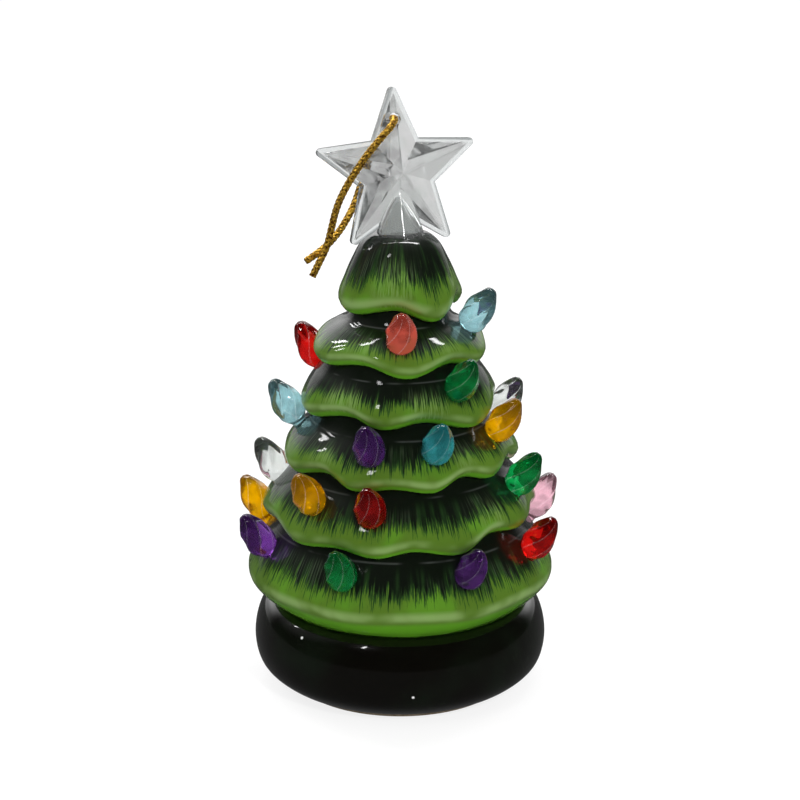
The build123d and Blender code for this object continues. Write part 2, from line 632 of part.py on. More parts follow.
def build_nodes():
    """Every piece by its node name."""
    nodes = {
        "tree_body": tree_body(),
        "tree_base": tree_base(),
        "star_topper": star_topper(),
        "hang_cord_front": strand(FRONT_STRAND),
        "hang_cord_back": strand(BACK_STRAND),
        "light_housing": light_housing(),
        "battery_door": battery_door(),
        "door_screw": door_screw(),
        "flat_contact": flat_contact(),
        "spring_contact": spring_contact(),
        "light_board": light_board(),
        "light_led": light_led(),
        "switch_can": switch_can(),
        "switch_knob": switch_knob(),
    }
    for number in range(CELL_COUNT):
        nodes[f"button_cell_{number + 1}"] = button_cell(number)
    bulb = bulb_solid()
    for name, seat in bulb_places():
        nodes[name] = bulb.moved(seat.location)
    return nodes


os.makedirs("parts", exist_ok=True)
for node, solid in build_nodes().items():
    export_step(solid, f"parts/{node}.step")
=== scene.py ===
"""Glazed ceramic Christmas tree with twisted bulbs, a clear star and a gold hanging loop."""
from collections import namedtuple
from math import ceil, cos, pi, radians, sin

import bpy
import numpy as np
from bpy.props import FloatProperty, FloatVectorProperty, IntProperty, PointerProperty
from mathutils import Matrix, Vector


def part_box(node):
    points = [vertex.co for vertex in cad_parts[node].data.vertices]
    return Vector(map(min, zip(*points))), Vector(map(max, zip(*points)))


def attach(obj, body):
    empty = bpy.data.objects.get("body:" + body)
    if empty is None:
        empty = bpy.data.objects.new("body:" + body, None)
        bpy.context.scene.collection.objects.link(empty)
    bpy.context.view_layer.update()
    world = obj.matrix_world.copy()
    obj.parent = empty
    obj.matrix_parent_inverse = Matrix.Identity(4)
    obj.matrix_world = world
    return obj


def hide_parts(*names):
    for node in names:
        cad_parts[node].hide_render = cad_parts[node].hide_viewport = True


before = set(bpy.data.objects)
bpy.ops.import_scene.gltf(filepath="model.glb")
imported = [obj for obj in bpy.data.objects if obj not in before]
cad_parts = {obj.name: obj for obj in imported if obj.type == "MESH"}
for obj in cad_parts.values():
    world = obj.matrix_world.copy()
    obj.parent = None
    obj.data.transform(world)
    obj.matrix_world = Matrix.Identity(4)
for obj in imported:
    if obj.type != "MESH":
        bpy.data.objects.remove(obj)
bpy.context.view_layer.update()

bl_info = {
    "name": "Ceramic Christmas Tree",
    "version": (1, 0, 0),
    "blender": (4, 5, 0),
    "location": "View3D > Sidebar > Ceramic Tree",
    "description": "Dresses a ceramic Christmas tree with glaze, bulbs, a star and a hanging loop",
    "category": "Add Mesh",
}

MM = 0.001

# Scallops of each tier: azimuth of the crease before each, its rise and the lift of the scallop's middle;
# degrees, 0 at the front and positive to the right, and millimetres
SCALLOPS = (
    ((-5, 2.7, 0), (80, 2.6, 0.6), (135, 2.4, 0.4), (190, 2.4, 0.6), (245, 2.6, 1.0)),
    ((-28, 2.1, 0), (38, 2.0, 0.5), (95, 2.3, 0.6), (150, 2.2, 0.3), (205, 2.3, 0.6), (255, 2.2, 0.5)),
    ((-115, 2.6, 0.6), (-35, 3.0, 1.5), (14, 2.6, 0), (90, 2.4, 0.5), (128, 2.4, 0.3), (165, 2.4, 0.6),
     (205, 2.4, 0.4)),
    ((-95, 1.8, 0.1), (-42, 2.2, 0.1), (-3, 0.9, 0), (35, 2.1, 0.6), (70, 1.9, 0.5), (105, 2.0, 0.3),
     (142, 2.0, 0.6), (180, 2.0, 0.2), (218, 1.9, 0.4)),
    ((-110, 1.8, 0.6), (-68, 1.6, 0), (-28, 1.0, 0), (6, 1.3, 0), (45, 2.4, 1.5), (80, 2.2, 0.8),
     (118, 1.8, 0.4), (160, 1.8, 0.6), (205, 1.8, 0.3)),
    ((-135, 0.4, 0), (-90, 0.5, 0), (-45, 0.4, 0), (5, 0.4, 0), (50, 0.5, 0), (95, 0.4, 0),
     (140, 0.5, 0), (182, 0.4, 0)),
)
DEEPEST_CREASE = max(crease[1] for row in SCALLOPS for crease in row) * MM
# Way down a tier, 0 at its brow and 1 at its hem: its root, the crown, the lip, the foot and the groove
ROOT_WAY = -0.35
CROWN_WAY = 0.1
LIP_WAY = 1.25
FOOT_WAY = 1.34
GROOVE_WAY = 1.7
# Stations down a tier's skirt: share of the way out, share of the way down, share of the scallops
SHOULDER = (0.38, 0.30, 0.3)
FLANK = (0.82, 0.70, 0.8)
BULB_PLACE = (0.43, 0.37, 0.37)
# Edge of the flat crown: share of its radius, drop in millimetres, way down
CROWN_EDGE = ((0.5, 0, CROWN_WAY), (0.92, 0.1, 0.15))
# Stations of the crown: shares of the hem's radius, of the fall to the hem and of the scallops, way down
CROWN_STATIONS = ((0.59, 0.12, 0, 0.22), (0.76, 0.40, 0.25, 0.40), (0.90, 0.70, 0.7, 0.70))
# Station between the lowest hem and the foot: shares of the way in, down and of the scallops, way down
LOWEST_ROLL = (0.45, 0.60, 0.6, 1.20)
# Steps from a hem to the brow below it, its lip and its groove: inwards, then down, or up to the groove
BROW_STEP = (2.2 * MM, 3.2 * MM)
LIP_STEP = (1.7 * MM, 2.2 * MM)
GROOVE_STEP = (4.2 * MM, 0.8 * MM)
HALF_GROOVE = 0.3 * MM
# Brush strokes in the glaze: width and length
CARVED_STROKE = (1.3 * MM, 7 * MM)
FINE_STROKE = (0.36 * MM, 5.0 * MM)
BROAD_STROKE = (1.6 * MM, 14.0 * MM)
HAIR_STROKE = (0.30 * MM, 11.0 * MM)
# Swell of the skin as a multiple of the carved strokes
SWELL_SHARE = 9.0
# Base outline: share of the bulge's radius, share of the base's height
BASE_OUTLINE = (
    (0.525, 0.192), (0.590, 0.187), (0.590, 0.100), (0.590, 0.015), (0.600, 0.0), (0.752, 0.0),
    (0.758, 0.015), (0.761, 0.040), (0.790, 0.050), (0.880, 0.130), (0.965, 0.270), (1.0, 0.495),
    (0.985, 0.730), (0.940, 0.905), (0.885, 0.985), (0.800, 1.0), (0.680, 1.0),
)
BASE_COLUMNS = 256
# Bulbs: azimuth in degrees, stand over the skin in millimetres and colour, tier by tier
BULB_ROWS = (
    (),
    ((1, 0, "coral"), (80, 0.9, "aqua"), (180, 0, "amber")),
    ((39, 0.6, "green"), (150, 0, "purple"), (205, 0, "clear"), (249, 0.7, "red")),
    ((-92, 2.0, "aqua"), (-16, 0, "purple"), (19, 0.7, "teal"), (68, 0.7, "amber"),
     (104, 0.4, "clear"), (148, 0, "red"), (192, 0, "green"), (222, 0, "amber")),
    ((-95, 0, "clear"), (-43, 0.7, "amber"), (-13, 0, "red"), (70, 0.7, "green"),
     (142, 0, "purple"), (180, 0, "aqua"), (218, 0, "pink")),
    ((-107, 2.4, "amber"), (-69, 1.4, "purple"), (-23, 0, "green"), (28, 0, "purple"),
     (66, 1.4, "red"), (110, 2.2, "pink"), (155, 0, "green"), (205, 0, "red")),
)
# Tint of each bulb colour and how clear its plastic is
BULB_COLOURS = {
    "coral": ((1.0, 0.17, 0.11), 0.60),
    "aqua": ((0.34, 0.62, 0.67), 0.84),
    "teal": ((0.06, 0.58, 0.62), 0.70),
    "amber": ((1.0, 0.50, 0.0), 0.66),
    "red": ((0.70, 0.008, 0.006), 0.80),
    "green": ((0.006, 0.42, 0.09), 0.75),
    "purple": ((0.19, 0.05, 0.36), 0.78),
    "pink": ((0.96, 0.55, 0.66), 0.84),
    "clear": ((0.74, 0.77, 0.75), 0.95),
}
# Bulb outline: share of the way from the peg's end to the tip, share of the bulb's radius
BULB_OUTLINE = (
    (0.0, 0.0), (0.005, 0.44), (0.34, 0.46), (0.375, 0.57), (0.415, 0.72), (0.458, 0.85), (0.515, 0.95),
    (0.605, 1.0), (0.715, 0.93), (0.82, 0.75), (0.91, 0.53), (0.965, 0.36), (0.99, 0.19), (1.0, 0.0),
)
# Share of the way along a bulb where its flutes set in
FLUTES_FROM = (0.46, 0.56)
# Points round and along a bulb, the gap under which they join, and the turn from one bulb to the next
BULB_COLUMNS = 61
BULB_POINTS_ALONG = 49
BULB_JOIN = 0.01 * MM
BULB_SPIN = 47
PLASTIC_IOR = 1.49
# Angle between an arm of the star and the way that its facets face, as seen from the front
FACET_LEAN = radians(68)
# Hanging loop: routes right, front and up from a point over the star's seat, level with its middle, in metres
FRONT_STRAND = (
    (-0.0004, 0, 0.0113), (-0.0004, 0.0039, 0.0113), (-0.0056, 0.0040, 0.0063), (-0.0090, 0.0039, 0.0023),
    (-0.0121, 0.0032, -0.0022), (-0.0142, 0.0024, -0.0064), (-0.0155, 0.0017, -0.0115),
    (-0.0164, 0.0012, -0.0149), (-0.0181, 0.0009, -0.0179), (-0.0198, 0.0006, -0.0211),
)
BACK_STRAND = (
    (-0.0004, 0, 0.0113), (-0.0004, -0.0039, 0.0113), (-0.0024, -0.0046, 0.0066), (-0.0048, -0.0051, 0.0016),
    (-0.0071, -0.0046, -0.0029), (-0.0086, -0.0040, -0.0065), (-0.0107, -0.0032, -0.0097),
    (-0.0131, -0.0023, -0.0126), (-0.0167, -0.0015, -0.0157), (-0.0206, -0.0008, -0.0177),
)
# Plies of the cord: radius as a share of the cord's width, sides, and step along the cord in metres
PLY_SHARE = 0.30
PLY_SIDES = 10
PLY_STEP = 0.00022
# Lamps: place and size in metres, power in watts, and whether the glaze mirrors them
LAMPS = (
    ("left_strip_1", (-0.61, 0.25, 0.56), (0.016, 0.14), 0.30, True),
    ("left_strip_2", (-0.55, 0.38, 0.57), (0.016, 0.14), 0.30, True),
    ("left_strip_3", (-0.47, 0.50, 0.56), (0.016, 0.14), 0.30, True),
    ("left_spark", (-0.40, -0.55, 0.80), (0.04, 0.15), 0.5, True),
    ("overhead", (0.0, 0.24, 0.93), (0.90, 0.09), 5.8, True),
    ("left_panel", (-0.62, 0.52, 0.42), (0.30, 0.34), 1.0, False),
    ("right_panel", (0.62, 0.52, 0.42), (0.30, 0.34), 1.0, False),
    ("front_fill", (0.35, -0.95, 0.75), (0.10, 0.10), 5.0, False),
)
LAMP_AIM = (0, 0, 0.07)
FLOOR_REACH = 4.0

Seat = namedtuple("Seat", "node colour point axis spin")


def length_setting(name, description, default):
    """Setting for a length in metres."""
    return FloatProperty(name=name, description=description, unit="LENGTH", default=default)


def angle_setting(name, description, degrees):
    """Setting for an angle, from degrees."""
    return FloatProperty(name=name, description=description, subtype="ANGLE", default=radians(degrees))


def colour_setting(name, description, default):
    """Setting for a colour."""
    return FloatVectorProperty(name=name, description=description, subtype="COLOR", default=default)


class TreeShape(bpy.types.PropertyGroup):
    """Sizes of the scalloped tree."""
    hem_radius: FloatVectorProperty(
        name="Hem radius", description="Radius of each tier's hem, from the top down", size=6,
        subtype="XYZ_LENGTH", default=(0.0138, 0.0192, 0.0217, 0.0258, 0.0302, 0.0337))
    hem_height: FloatVectorProperty(
        name="Hem height", description="Height of each hem above the base, from the top down", size=6,
        subtype="XYZ_LENGTH", default=(0.0666, 0.0563, 0.0443, 0.0330, 0.0202, 0.0062))
    crease_depth: FloatProperty(
        name="Crease depth", description="How far a crease goes in, as a share of its rise", default=0.55)
    base_height: length_setting("Base height", "Height of the base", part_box("tree_base")[1][2])
    tree_height: length_setting("Tree height", "Height of the tree above the base", 0.0814)
    crown_radius: length_setting("Crown radius", "Radius of the flat crown under the star", 0.0062)
    bulge_radius: length_setting("Bulge radius", "Largest radius of the base", 0.0322)
    foot_radius: length_setting("Foot radius", "Radius of the tree where it meets the base", 0.0276)
    relief: length_setting("Needle relief", "Height of the carved needle strokes", 0.00002)
    columns: IntProperty(name="Columns", description="Columns of faces round the tree", default=432, min=48)
    row_spacing: length_setting("Row spacing", "Height of a row of faces", 0.00095)


class GlazeColours(bpy.types.PropertyGroup):
    """Colours of the brushed glaze."""
    # Shade is the near-black paint of the tiers, and is also painted as shade into the groove under each lip
    shade: colour_setting("Shade", "Near-black green under each hem", (0.0035, 0.0065, 0.003))
    needle: colour_setting("Needle", "Green of the brushed needles", (0.022, 0.066, 0.010))
    brush: colour_setting("Brush", "Soft strokes in the dark glaze", (0.010, 0.032, 0.007))
    # Pale brushed hairs in the dark glaze, partly a painted sheen
    hair_and_sheen: colour_setting("Hair", "Pale hairs in the dark glaze", (0.048, 0.074, 0.038))
    # Painted highlight: the thin light line under each hem stands in for a reflection
    brow: colour_setting("Brow", "Thin light line under each hem", (0.04, 0.045, 0.04))
    hem: colour_setting("Hem", "Bright yellow-green of the hems", (0.076, 0.156, 0.013))
    lip: colour_setting("Lip", "Grass green rolled under the hems", (0.098, 0.30, 0.014))
    # This colour serves the pale streaks in the creases and the painted highlight along the hems' rims
    streak_and_highlight: colour_setting("Streak", "Pale green on the rims and in the creases", (0.22, 0.34, 0.11))
    base: colour_setting("Base", "Dark glaze of the base", (0.0022, 0.0019, 0.0011))
    clay: colour_setting("Clay", "Unglazed foot", (0.46, 0.36, 0.25))


class BulbShape(bpy.types.PropertyGroup):
    """Sizes of the twisted bulbs."""
    radius: length_setting("Radius", "Largest radius of a bulb", 0.0035)
    length: length_setting("Length", "Length above the seat", 0.0098)
    peg_length: length_setting("Peg", "Length of the peg in the tree", 0.007)
    flutes: IntProperty(name="Flutes", description="Flutes round a bulb", default=6, min=3)
    flute_depth: FloatProperty(
        name="Flute depth", description="Depth of a flute as a share of the radius", default=0.11)
    twist: angle_setting("Twist", "Turn of the flutes from the peg's end to the tip", 160)
    lift: angle_setting("Lift", "Tilt of a bulb above level", 58)
    sink: length_setting("Sink", "Depth of a seat in the tree", 0.0004)


class LoopShape(bpy.types.PropertyGroup):
    """Sizes of the gold hanging loop and of the star that holds it."""
    diameter: length_setting("Diameter", "Width of the cord", 0.0016)
    front_length: length_setting("Front length", "Length of the front strand", 0.0418)
    back_length: length_setting("Back length", "Length of the back strand", 0.0400)
    plies: IntProperty(name="Plies", description="Threads twisted together", default=4, min=2)
    lay: length_setting("Lay", "Length of one turn of the twist", 0.0042)
    gold: colour_setting("Gold", "Foil colour", (0.98, 0.58, 0.07))
    star_arms: IntProperty(name="Star arms", description="Points of the star", default=5, min=3)
    star_rise: length_setting("Star rise", "Height of the star's middle over the crown", 0.0129)
    star_turn: angle_setting("Star turn", "Turn of the star to the right", 15.5)
    star_pitch: angle_setting("Star pitch", "Tilt of the star backwards", 9)


class StudioSet(bpy.types.PropertyGroup):
    """Camera and light of the studio."""
    camera_place: FloatVectorProperty(
        name="Camera", description="Place of the camera", subtype="TRANSLATION",
        default=(0.0, -0.520, 0.2298))
    camera_aim: FloatVectorProperty(
        name="Aim", description="Point in the middle of the picture", subtype="TRANSLATION",
        default=(0.0, 0.0, 0.06385))
    lens: FloatProperty(name="Lens", description="Focal length", unit="CAMERA", default=113.2)
    ambient: FloatProperty(name="Ambient", description="Soft light from all round", default=0.62)


class Wiring:
    """Adds nodes to a node tree and links them."""

    def __init__(self, tree):
        self.tree = tree

    def add(self, kind, inputs=None, output=0, **settings):
        """New node with its settings and inputs; returns one of its outputs."""
        node = self.tree.nodes.new(kind)
        for name, value in settings.items():
            setattr(node, name, value)
        for key, value in (inputs or {}).items():
            self.feed(node.inputs[key], value)
        return node.outputs[output] if len(node.outputs) else node

    def feed(self, socket, value):
        """Links a socket to an output, or sets its value."""
        if isinstance(value, bpy.types.NodeSocket):
            self.tree.links.new(value, socket)
        else:
            socket.default_value = value

    def shade(self, shader, **inputs):
        """Feeds the inputs of a shader, named with underscores for spaces."""
        for name, value in inputs.items():
            self.feed(shader.inputs[name.replace("_", " ")], value)

    def math(self, operation, *values):
        """Result of a calculation with numbers."""
        return self.add("ShaderNodeMath", dict(enumerate(values)), operation=operation)

    def times(self, first, *others):
        """Product of numbers."""
        for other in others:
            first = self.math("MULTIPLY", first, other)
        return first

    def plus(self, first, second):
        """Sum of two numbers."""
        return self.math("ADD", first, second)

    def minus(self, first, second):
        """Difference of two numbers."""
        return self.math("SUBTRACT", first, second)

    def sway(self, noise, reach):
        """Noise moved to swing about zero, times a reach."""
        return self.times(self.minus(noise, 0.5), reach)

    def vector(self, operation, *values):
        """Result of a calculation with vectors."""
        return self.add("ShaderNodeVectorMath", dict(enumerate(values)), operation=operation)

    def dot(self, first, second):
        """Dot product of two vectors."""
        return self.add("ShaderNodeVectorMath", {0: first, 1: second}, output=1, operation="DOT_PRODUCT")

    def scale(self, vector, share):
        """Vector times a number."""
        return self.add("ShaderNodeVectorMath", {0: vector, "Scale": share}, operation="SCALE")

    def parts(self, vector):
        """The three parts of a vector."""
        return self.add("ShaderNodeSeparateXYZ", {0: vector}).node.outputs

    def join(self, **parts):
        """Vector of the parts that are given, and zero for the others."""
        return self.add("ShaderNodeCombineXYZ", {name.upper(): value for name, value in parts.items()})

    def smooth(self, value, low, high, start=0.0, end=1.0):
        """Smooth step from start to end as a value goes from low to high."""
        inputs = {"Value": value, "From Min": low, "From Max": high, "To Min": start, "To Max": end}
        return self.add("ShaderNodeMapRange", inputs, interpolation_type="SMOOTHSTEP")

    def band(self, value, rise, fall):
        """Share that rises from 0 to 1 over one range of a value and falls back over another."""
        return self.times(self.smooth(value, *rise), self.smooth(value, *fall))

    def noise(self, place, scale, detail=2.0, roughness=0.5):
        """Grey noise at a place."""
        inputs = {"Vector": place, "Scale": scale, "Detail": detail, "Roughness": roughness}
        return self.add("ShaderNodeTexNoise", inputs)

    def blend(self, share, first, second):
        """Mix of two colours."""
        return self.add("ShaderNodeMix", {0: share, 6: rgba(first), 7: rgba(second)}, output=2,
                        data_type="RGBA")

    def bump(self, height, strength, distance):
        """Normal bent by a height."""
        return self.add("ShaderNodeBump", {"Height": height, "Strength": strength, "Distance": distance})

    def place(self):
        """Object coordinates in a material."""
        return self.add("ShaderNodeTexCoord", output=3)

    def attribute(self, name):
        """Number kept on the mesh under a name, in a material."""
        return self.add("ShaderNodeAttribute", output=2, attribute_name=name)

    def kept(self, name, data_type="FLOAT"):
        """Value kept on the points under a name, in a node group."""
        return self.add("GeometryNodeInputNamedAttribute", {"Name": name}, data_type=data_type)


def rgba(colour):
    """Colour with its alpha, or an output as it is."""
    return colour if isinstance(colour, bpy.types.NodeSocket) else (*colour, 1.0)


def dimmed(colour, share):
    """Colour times a share."""
    return [share * part for part in colour]


def new_material(name, **surface):
    """Material with a principled shader; returns it with its wiring and shader."""
    material = bpy.data.materials.new(name)
    material.use_nodes = True
    wiring = Wiring(material.node_tree)
    shader = material.node_tree.nodes["Principled BSDF"]
    wiring.shade(shader, **surface)
    return material, wiring, shader


def new_group(name, inputs):
    """Geometry node group; returns it with its wiring, its inputs' outputs and their identifiers."""
    tree = bpy.data.node_groups.new(name, "GeometryNodeTree")
    sockets = {}
    for label, kind in inputs.items():
        socket = tree.interface.new_socket(name=label, in_out="INPUT", socket_type="NodeSocket" + kind)
        sockets[label] = socket.identifier
    tree.interface.new_socket(name="Geometry", in_out="OUTPUT", socket_type="NodeSocketGeometry")
    return tree, Wiring(tree), tree.nodes.new("NodeGroupInput").outputs, sockets


def end_group(wiring, geometry, material):
    """Ends a node group with real faces in a material."""
    realized = wiring.add("GeometryNodeRealizeInstances", {0: geometry})
    finished = wiring.add("GeometryNodeSetMaterial", {"Geometry": realized, "Material": material})
    wiring.add("NodeGroupOutput", {0: finished})


def run_group(piece, tree, sockets, values):
    """Runs a node group on a piece and returns the result as a plain mesh."""
    modifier = piece.modifiers.new(tree.name, "NODES")
    modifier.node_group = tree
    for label, value in values.items():
        modifier[sockets[label]] = value
    shown = bpy.context.evaluated_depsgraph_get()
    result = piece.evaluated_get(shown)
    mesh = bpy.data.meshes.new_from_object(result, preserve_all_data_layers=True, depsgraph=shown)
    piece.modifiers.remove(modifier)
    return mesh


def give_material(mesh, material):
    """Makes a material the only one of a mesh."""
    mesh.materials.clear()
    mesh.materials.append(material)


def give_finish(node, material):
    """Puts a material on a CAD node that keeps its own shape."""
    give_material(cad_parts[node].data, material)


def add_piece(name, mesh):
    """Object of a mesh, linked to the scene."""
    piece = bpy.data.objects.new(name, mesh)
    bpy.context.scene.collection.objects.link(piece)
    return piece


def seat_piece(piece, body, slot, *nodes):
    """Lets a piece ride on a body in place of its CAD nodes."""
    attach(piece, body)
    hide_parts(*nodes)


def solid_mesh(name, vertices, faces):
    """Smooth mesh of points and faces."""
    mesh = bpy.data.meshes.new(name)
    mesh.from_pydata([tuple(vertex) for vertex in vertices], [], faces)
    mesh.shade_smooth()
    mesh.update()
    return mesh


def ring_faces(rows, columns):
    """Faces between rings of points, from the top ring down."""
    faces = []
    for row in range(rows - 1):
        top, under = row * columns, (row + 1) * columns
        for column in range(columns):
            beside = (column + 1) % columns
            faces.append((top + column, under + column, under + beside, top + beside))
    return faces


def end_faces(rows, columns):
    """Faces that close the first and the last ring with the two points that follow the rings."""
    first, last = rows * columns, rows * columns + 1
    lowest = (rows - 1) * columns
    faces = []
    for column in range(columns):
        beside = (column + 1) % columns
        faces.append((first, column, beside))
        faces.append((last, lowest + beside, lowest + column))
    return faces


def smooth_line(stations, spacing):
    """Points along a smooth line through stations, whose first two values are lengths."""
    points = np.array(stations, dtype=float)
    ends = (2 * points[0] - points[1], 2 * points[-1] - points[-2])
    chain = np.vstack((ends[0], points, ends[1]))
    gaps = np.sqrt(np.linalg.norm(np.diff(chain[:, :2], axis=0), axis=1))
    knots = np.concatenate(([0], np.cumsum(gaps)))
    rows = []
    for index in range(1, len(chain) - 2):
        before, start, end, after = chain[index - 1:index + 3]
        t0, t1, t2, t3 = knots[index - 1:index + 3]
        gap = t2 - t1
        leave = gap * ((end - start) / gap - (end - before) / (t2 - t0) + (start - before) / (t1 - t0))
        arrive = gap * ((after - end) / (t3 - t2) - (after - start) / (t3 - t1) + (end - start) / gap)
        count = max(2, ceil(np.linalg.norm((end - start)[:2]) / spacing))
        for step in range(count):
            t = step / count
            rows.append((2 * t**3 - 3 * t**2 + 1) * start + (t**3 - 2 * t**2 + t) * leave
                        + (3 * t**2 - 2 * t**3) * end + (t**3 - t**2) * arrive)
    rows.append(points[-1])
    return rows


def polar(radius, azimuth, height):
    """Point at a radius and height, at an azimuth in degrees that is 0 at the front."""
    return Vector((radius * sin(radians(azimuth)), -radius * cos(radians(azimuth)), height))


# Tree

def wave_at(tier, azimuths):
    """How much of a crease shows at azimuths round a tier, and the rise of its hem there."""
    row = SCALLOPS[tier]
    creases, rises = np.zeros((2, len(azimuths)))
    for (start, start_rise, lift), (end, end_rise, _) in zip(row, row[1:] + row[:1]):
        width = (end - start) % 360
        turn = (azimuths - start) % 360
        inside = turn <= width
        step = turn[inside] / width
        fold = np.cos(pi * step) ** 2
        creases[inside] = fold * np.where(step < 0.5, start_rise, end_rise)
        rises[inside] = creases[inside] + (1 - fold) * lift
    return creases * MM, rises * MM


def hem(shape, tier):
    """Radius and height of a tier's hem."""
    return shape.hem_radius[tier], shape.base_height + shape.hem_height[tier]


def groove(shape, tier):
    """Radius and height of the groove under a tier's hem."""
    inset, rise = GROOVE_STEP
    radius, height = hem(shape, tier)
    return radius - inset, height + rise


def skirt(shape, tier, out, down):
    """Radius and height at shares of the way out and down from a tier's brow to its hem."""
    inset, drop = BROW_STEP
    above_radius, above_height = hem(shape, tier - 1)
    radius, height = hem(shape, tier)
    brow_radius, brow_height = above_radius - inset, above_height - drop
    return brow_radius + out * (radius - brow_radius), brow_height + down * (height - brow_height)


def crown_stations(shape):
    """Radius, height, share of the scallops and way down, from the crown to above the top hem."""
    radius, height = hem(shape, 0)
    top = shape.base_height + shape.tree_height
    stations = []
    for share, drop, way in CROWN_EDGE:
        stations.append((share * shape.crown_radius, top - drop * MM, 0, way))
    for out, down, share, way in CROWN_STATIONS:
        stations.append((out * radius, top - down * (top - height), share, way))
    return stations


def skirt_stations(shape, tier):
    """Radius, height, share of the scallops and way down, from a tier's root to above its hem."""
    root_radius, root_height = groove(shape, tier - 1)
    stations = [(root_radius, root_height - HALF_GROOVE, 0, ROOT_WAY)]
    for out, down, share in ((0, 0, 0), SHOULDER, FLANK):
        stations.append((*skirt(shape, tier, out, down), share, down))
    return stations


def tier_stations(shape, tier):
    """Radius, height, share of the scallops and way down, at the stations of a tier's outline."""
    radius, height = hem(shape, tier)
    stations = skirt_stations(shape, tier) if tier else crown_stations(shape)
    stations.append((radius, height, 1, 1.0))
    if tier == len(shape.hem_radius) - 1:
        inward, downward, share, way = LOWEST_ROLL
        stations.append((radius - inward * (radius - shape.foot_radius),
                         height - downward * shape.hem_height[tier], share, way))
        stations.append((shape.foot_radius, shape.base_height, 0, FOOT_WAY))
    else:
        inset, drop = LIP_STEP
        root_radius, root_height = groove(shape, tier)
        stations.append((radius - inset, height - drop, 1, LIP_WAY))
        stations.append((root_radius, root_height + HALF_GROOVE, 0, GROOVE_WAY))
    return stations


def tree_skin(shape):
    """Skin of the tree with the way down each tier, the fold and the tier's radius kept on its points."""
    azimuths = np.arange(shape.columns) * 360 / shape.columns
    across, along = np.sin(np.radians(azimuths)), -np.cos(np.radians(azimuths))
    points, downs, folds, reaches = [], [], [], []
    for tier in range(len(shape.hem_radius)):
        crease, rise = wave_at(tier, azimuths)
        for radius, height, share, down in smooth_line(tier_stations(shape, tier), shape.row_spacing):
            share = max(share, 0)
            ring = radius - share * crease * shape.crease_depth
            points.append(np.stack((ring * across, ring * along, height + share * rise), 1))
            downs.append(np.full(shape.columns, down))
            folds.append(crease / DEEPEST_CREASE)
            reaches.append(np.full(shape.columns, shape.hem_radius[tier]))
    ends = [(0, 0, shape.base_height + shape.tree_height), (0, 0, shape.base_height)]
    faces = ring_faces(len(points), shape.columns) + end_faces(len(points), shape.columns)
    mesh = solid_mesh("tree_skin", np.vstack((*points, ends)), faces)
    marks = (
        ("way_down", downs, (CROWN_WAY, FOOT_WAY)),
        ("fold", folds, (0, 0)),
        ("reach", reaches, (shape.crown_radius, shape.foot_radius)),
    )
    for name, values, end_values in marks:
        kept = mesh.attributes.new(name, "FLOAT", "POINT")
        kept.data.foreach_set("value", np.concatenate((*values, end_values)).astype(np.float32))
    return mesh


def stroke_place(wiring, place, reach, stroke):
    """Coordinates in strokes: round the tree along its arc, and down it by height."""
    width, length = stroke
    x, y, z = wiring.parts(place)
    arc = wiring.math("DIVIDE", reach, width)
    round_way = wiring.scale(wiring.vector("NORMALIZE", wiring.join(x=x, y=y)), arc)
    return wiring.vector("ADD", round_way, wiring.join(z=wiring.math("DIVIDE", z, length)))


def relief_group():
    """Node group that carves the needle strokes into the tree's skin."""
    tree, wiring, group, sockets = new_group("needle_relief", {
        "Geometry": "Geometry", "Height": "Float", "Glaze": "Material"})
    place = wiring.add("GeometryNodeInputPosition")
    down = wiring.kept("way_down")
    strokes = wiring.noise(stroke_place(wiring, place, wiring.kept("reach"), CARVED_STROKE), 1.0, 1.0)
    swell = wiring.noise(place, 45.0, 1.0)
    carved = wiring.sway(strokes, wiring.band(down, (0.1, 0.4), (1.0, 0.8)))
    uneven = wiring.sway(swell, wiring.smooth(down, -0.1, 0.2))
    total = wiring.plus(carved, wiring.times(uneven, SWELL_SHARE))
    shift = wiring.scale(wiring.add("GeometryNodeInputNormal"), wiring.times(total, group["Height"]))
    skin = wiring.add("GeometryNodeSetPosition", {"Geometry": group["Geometry"], "Offset": shift})
    end_group(wiring, skin, group["Glaze"])
    return tree, sockets


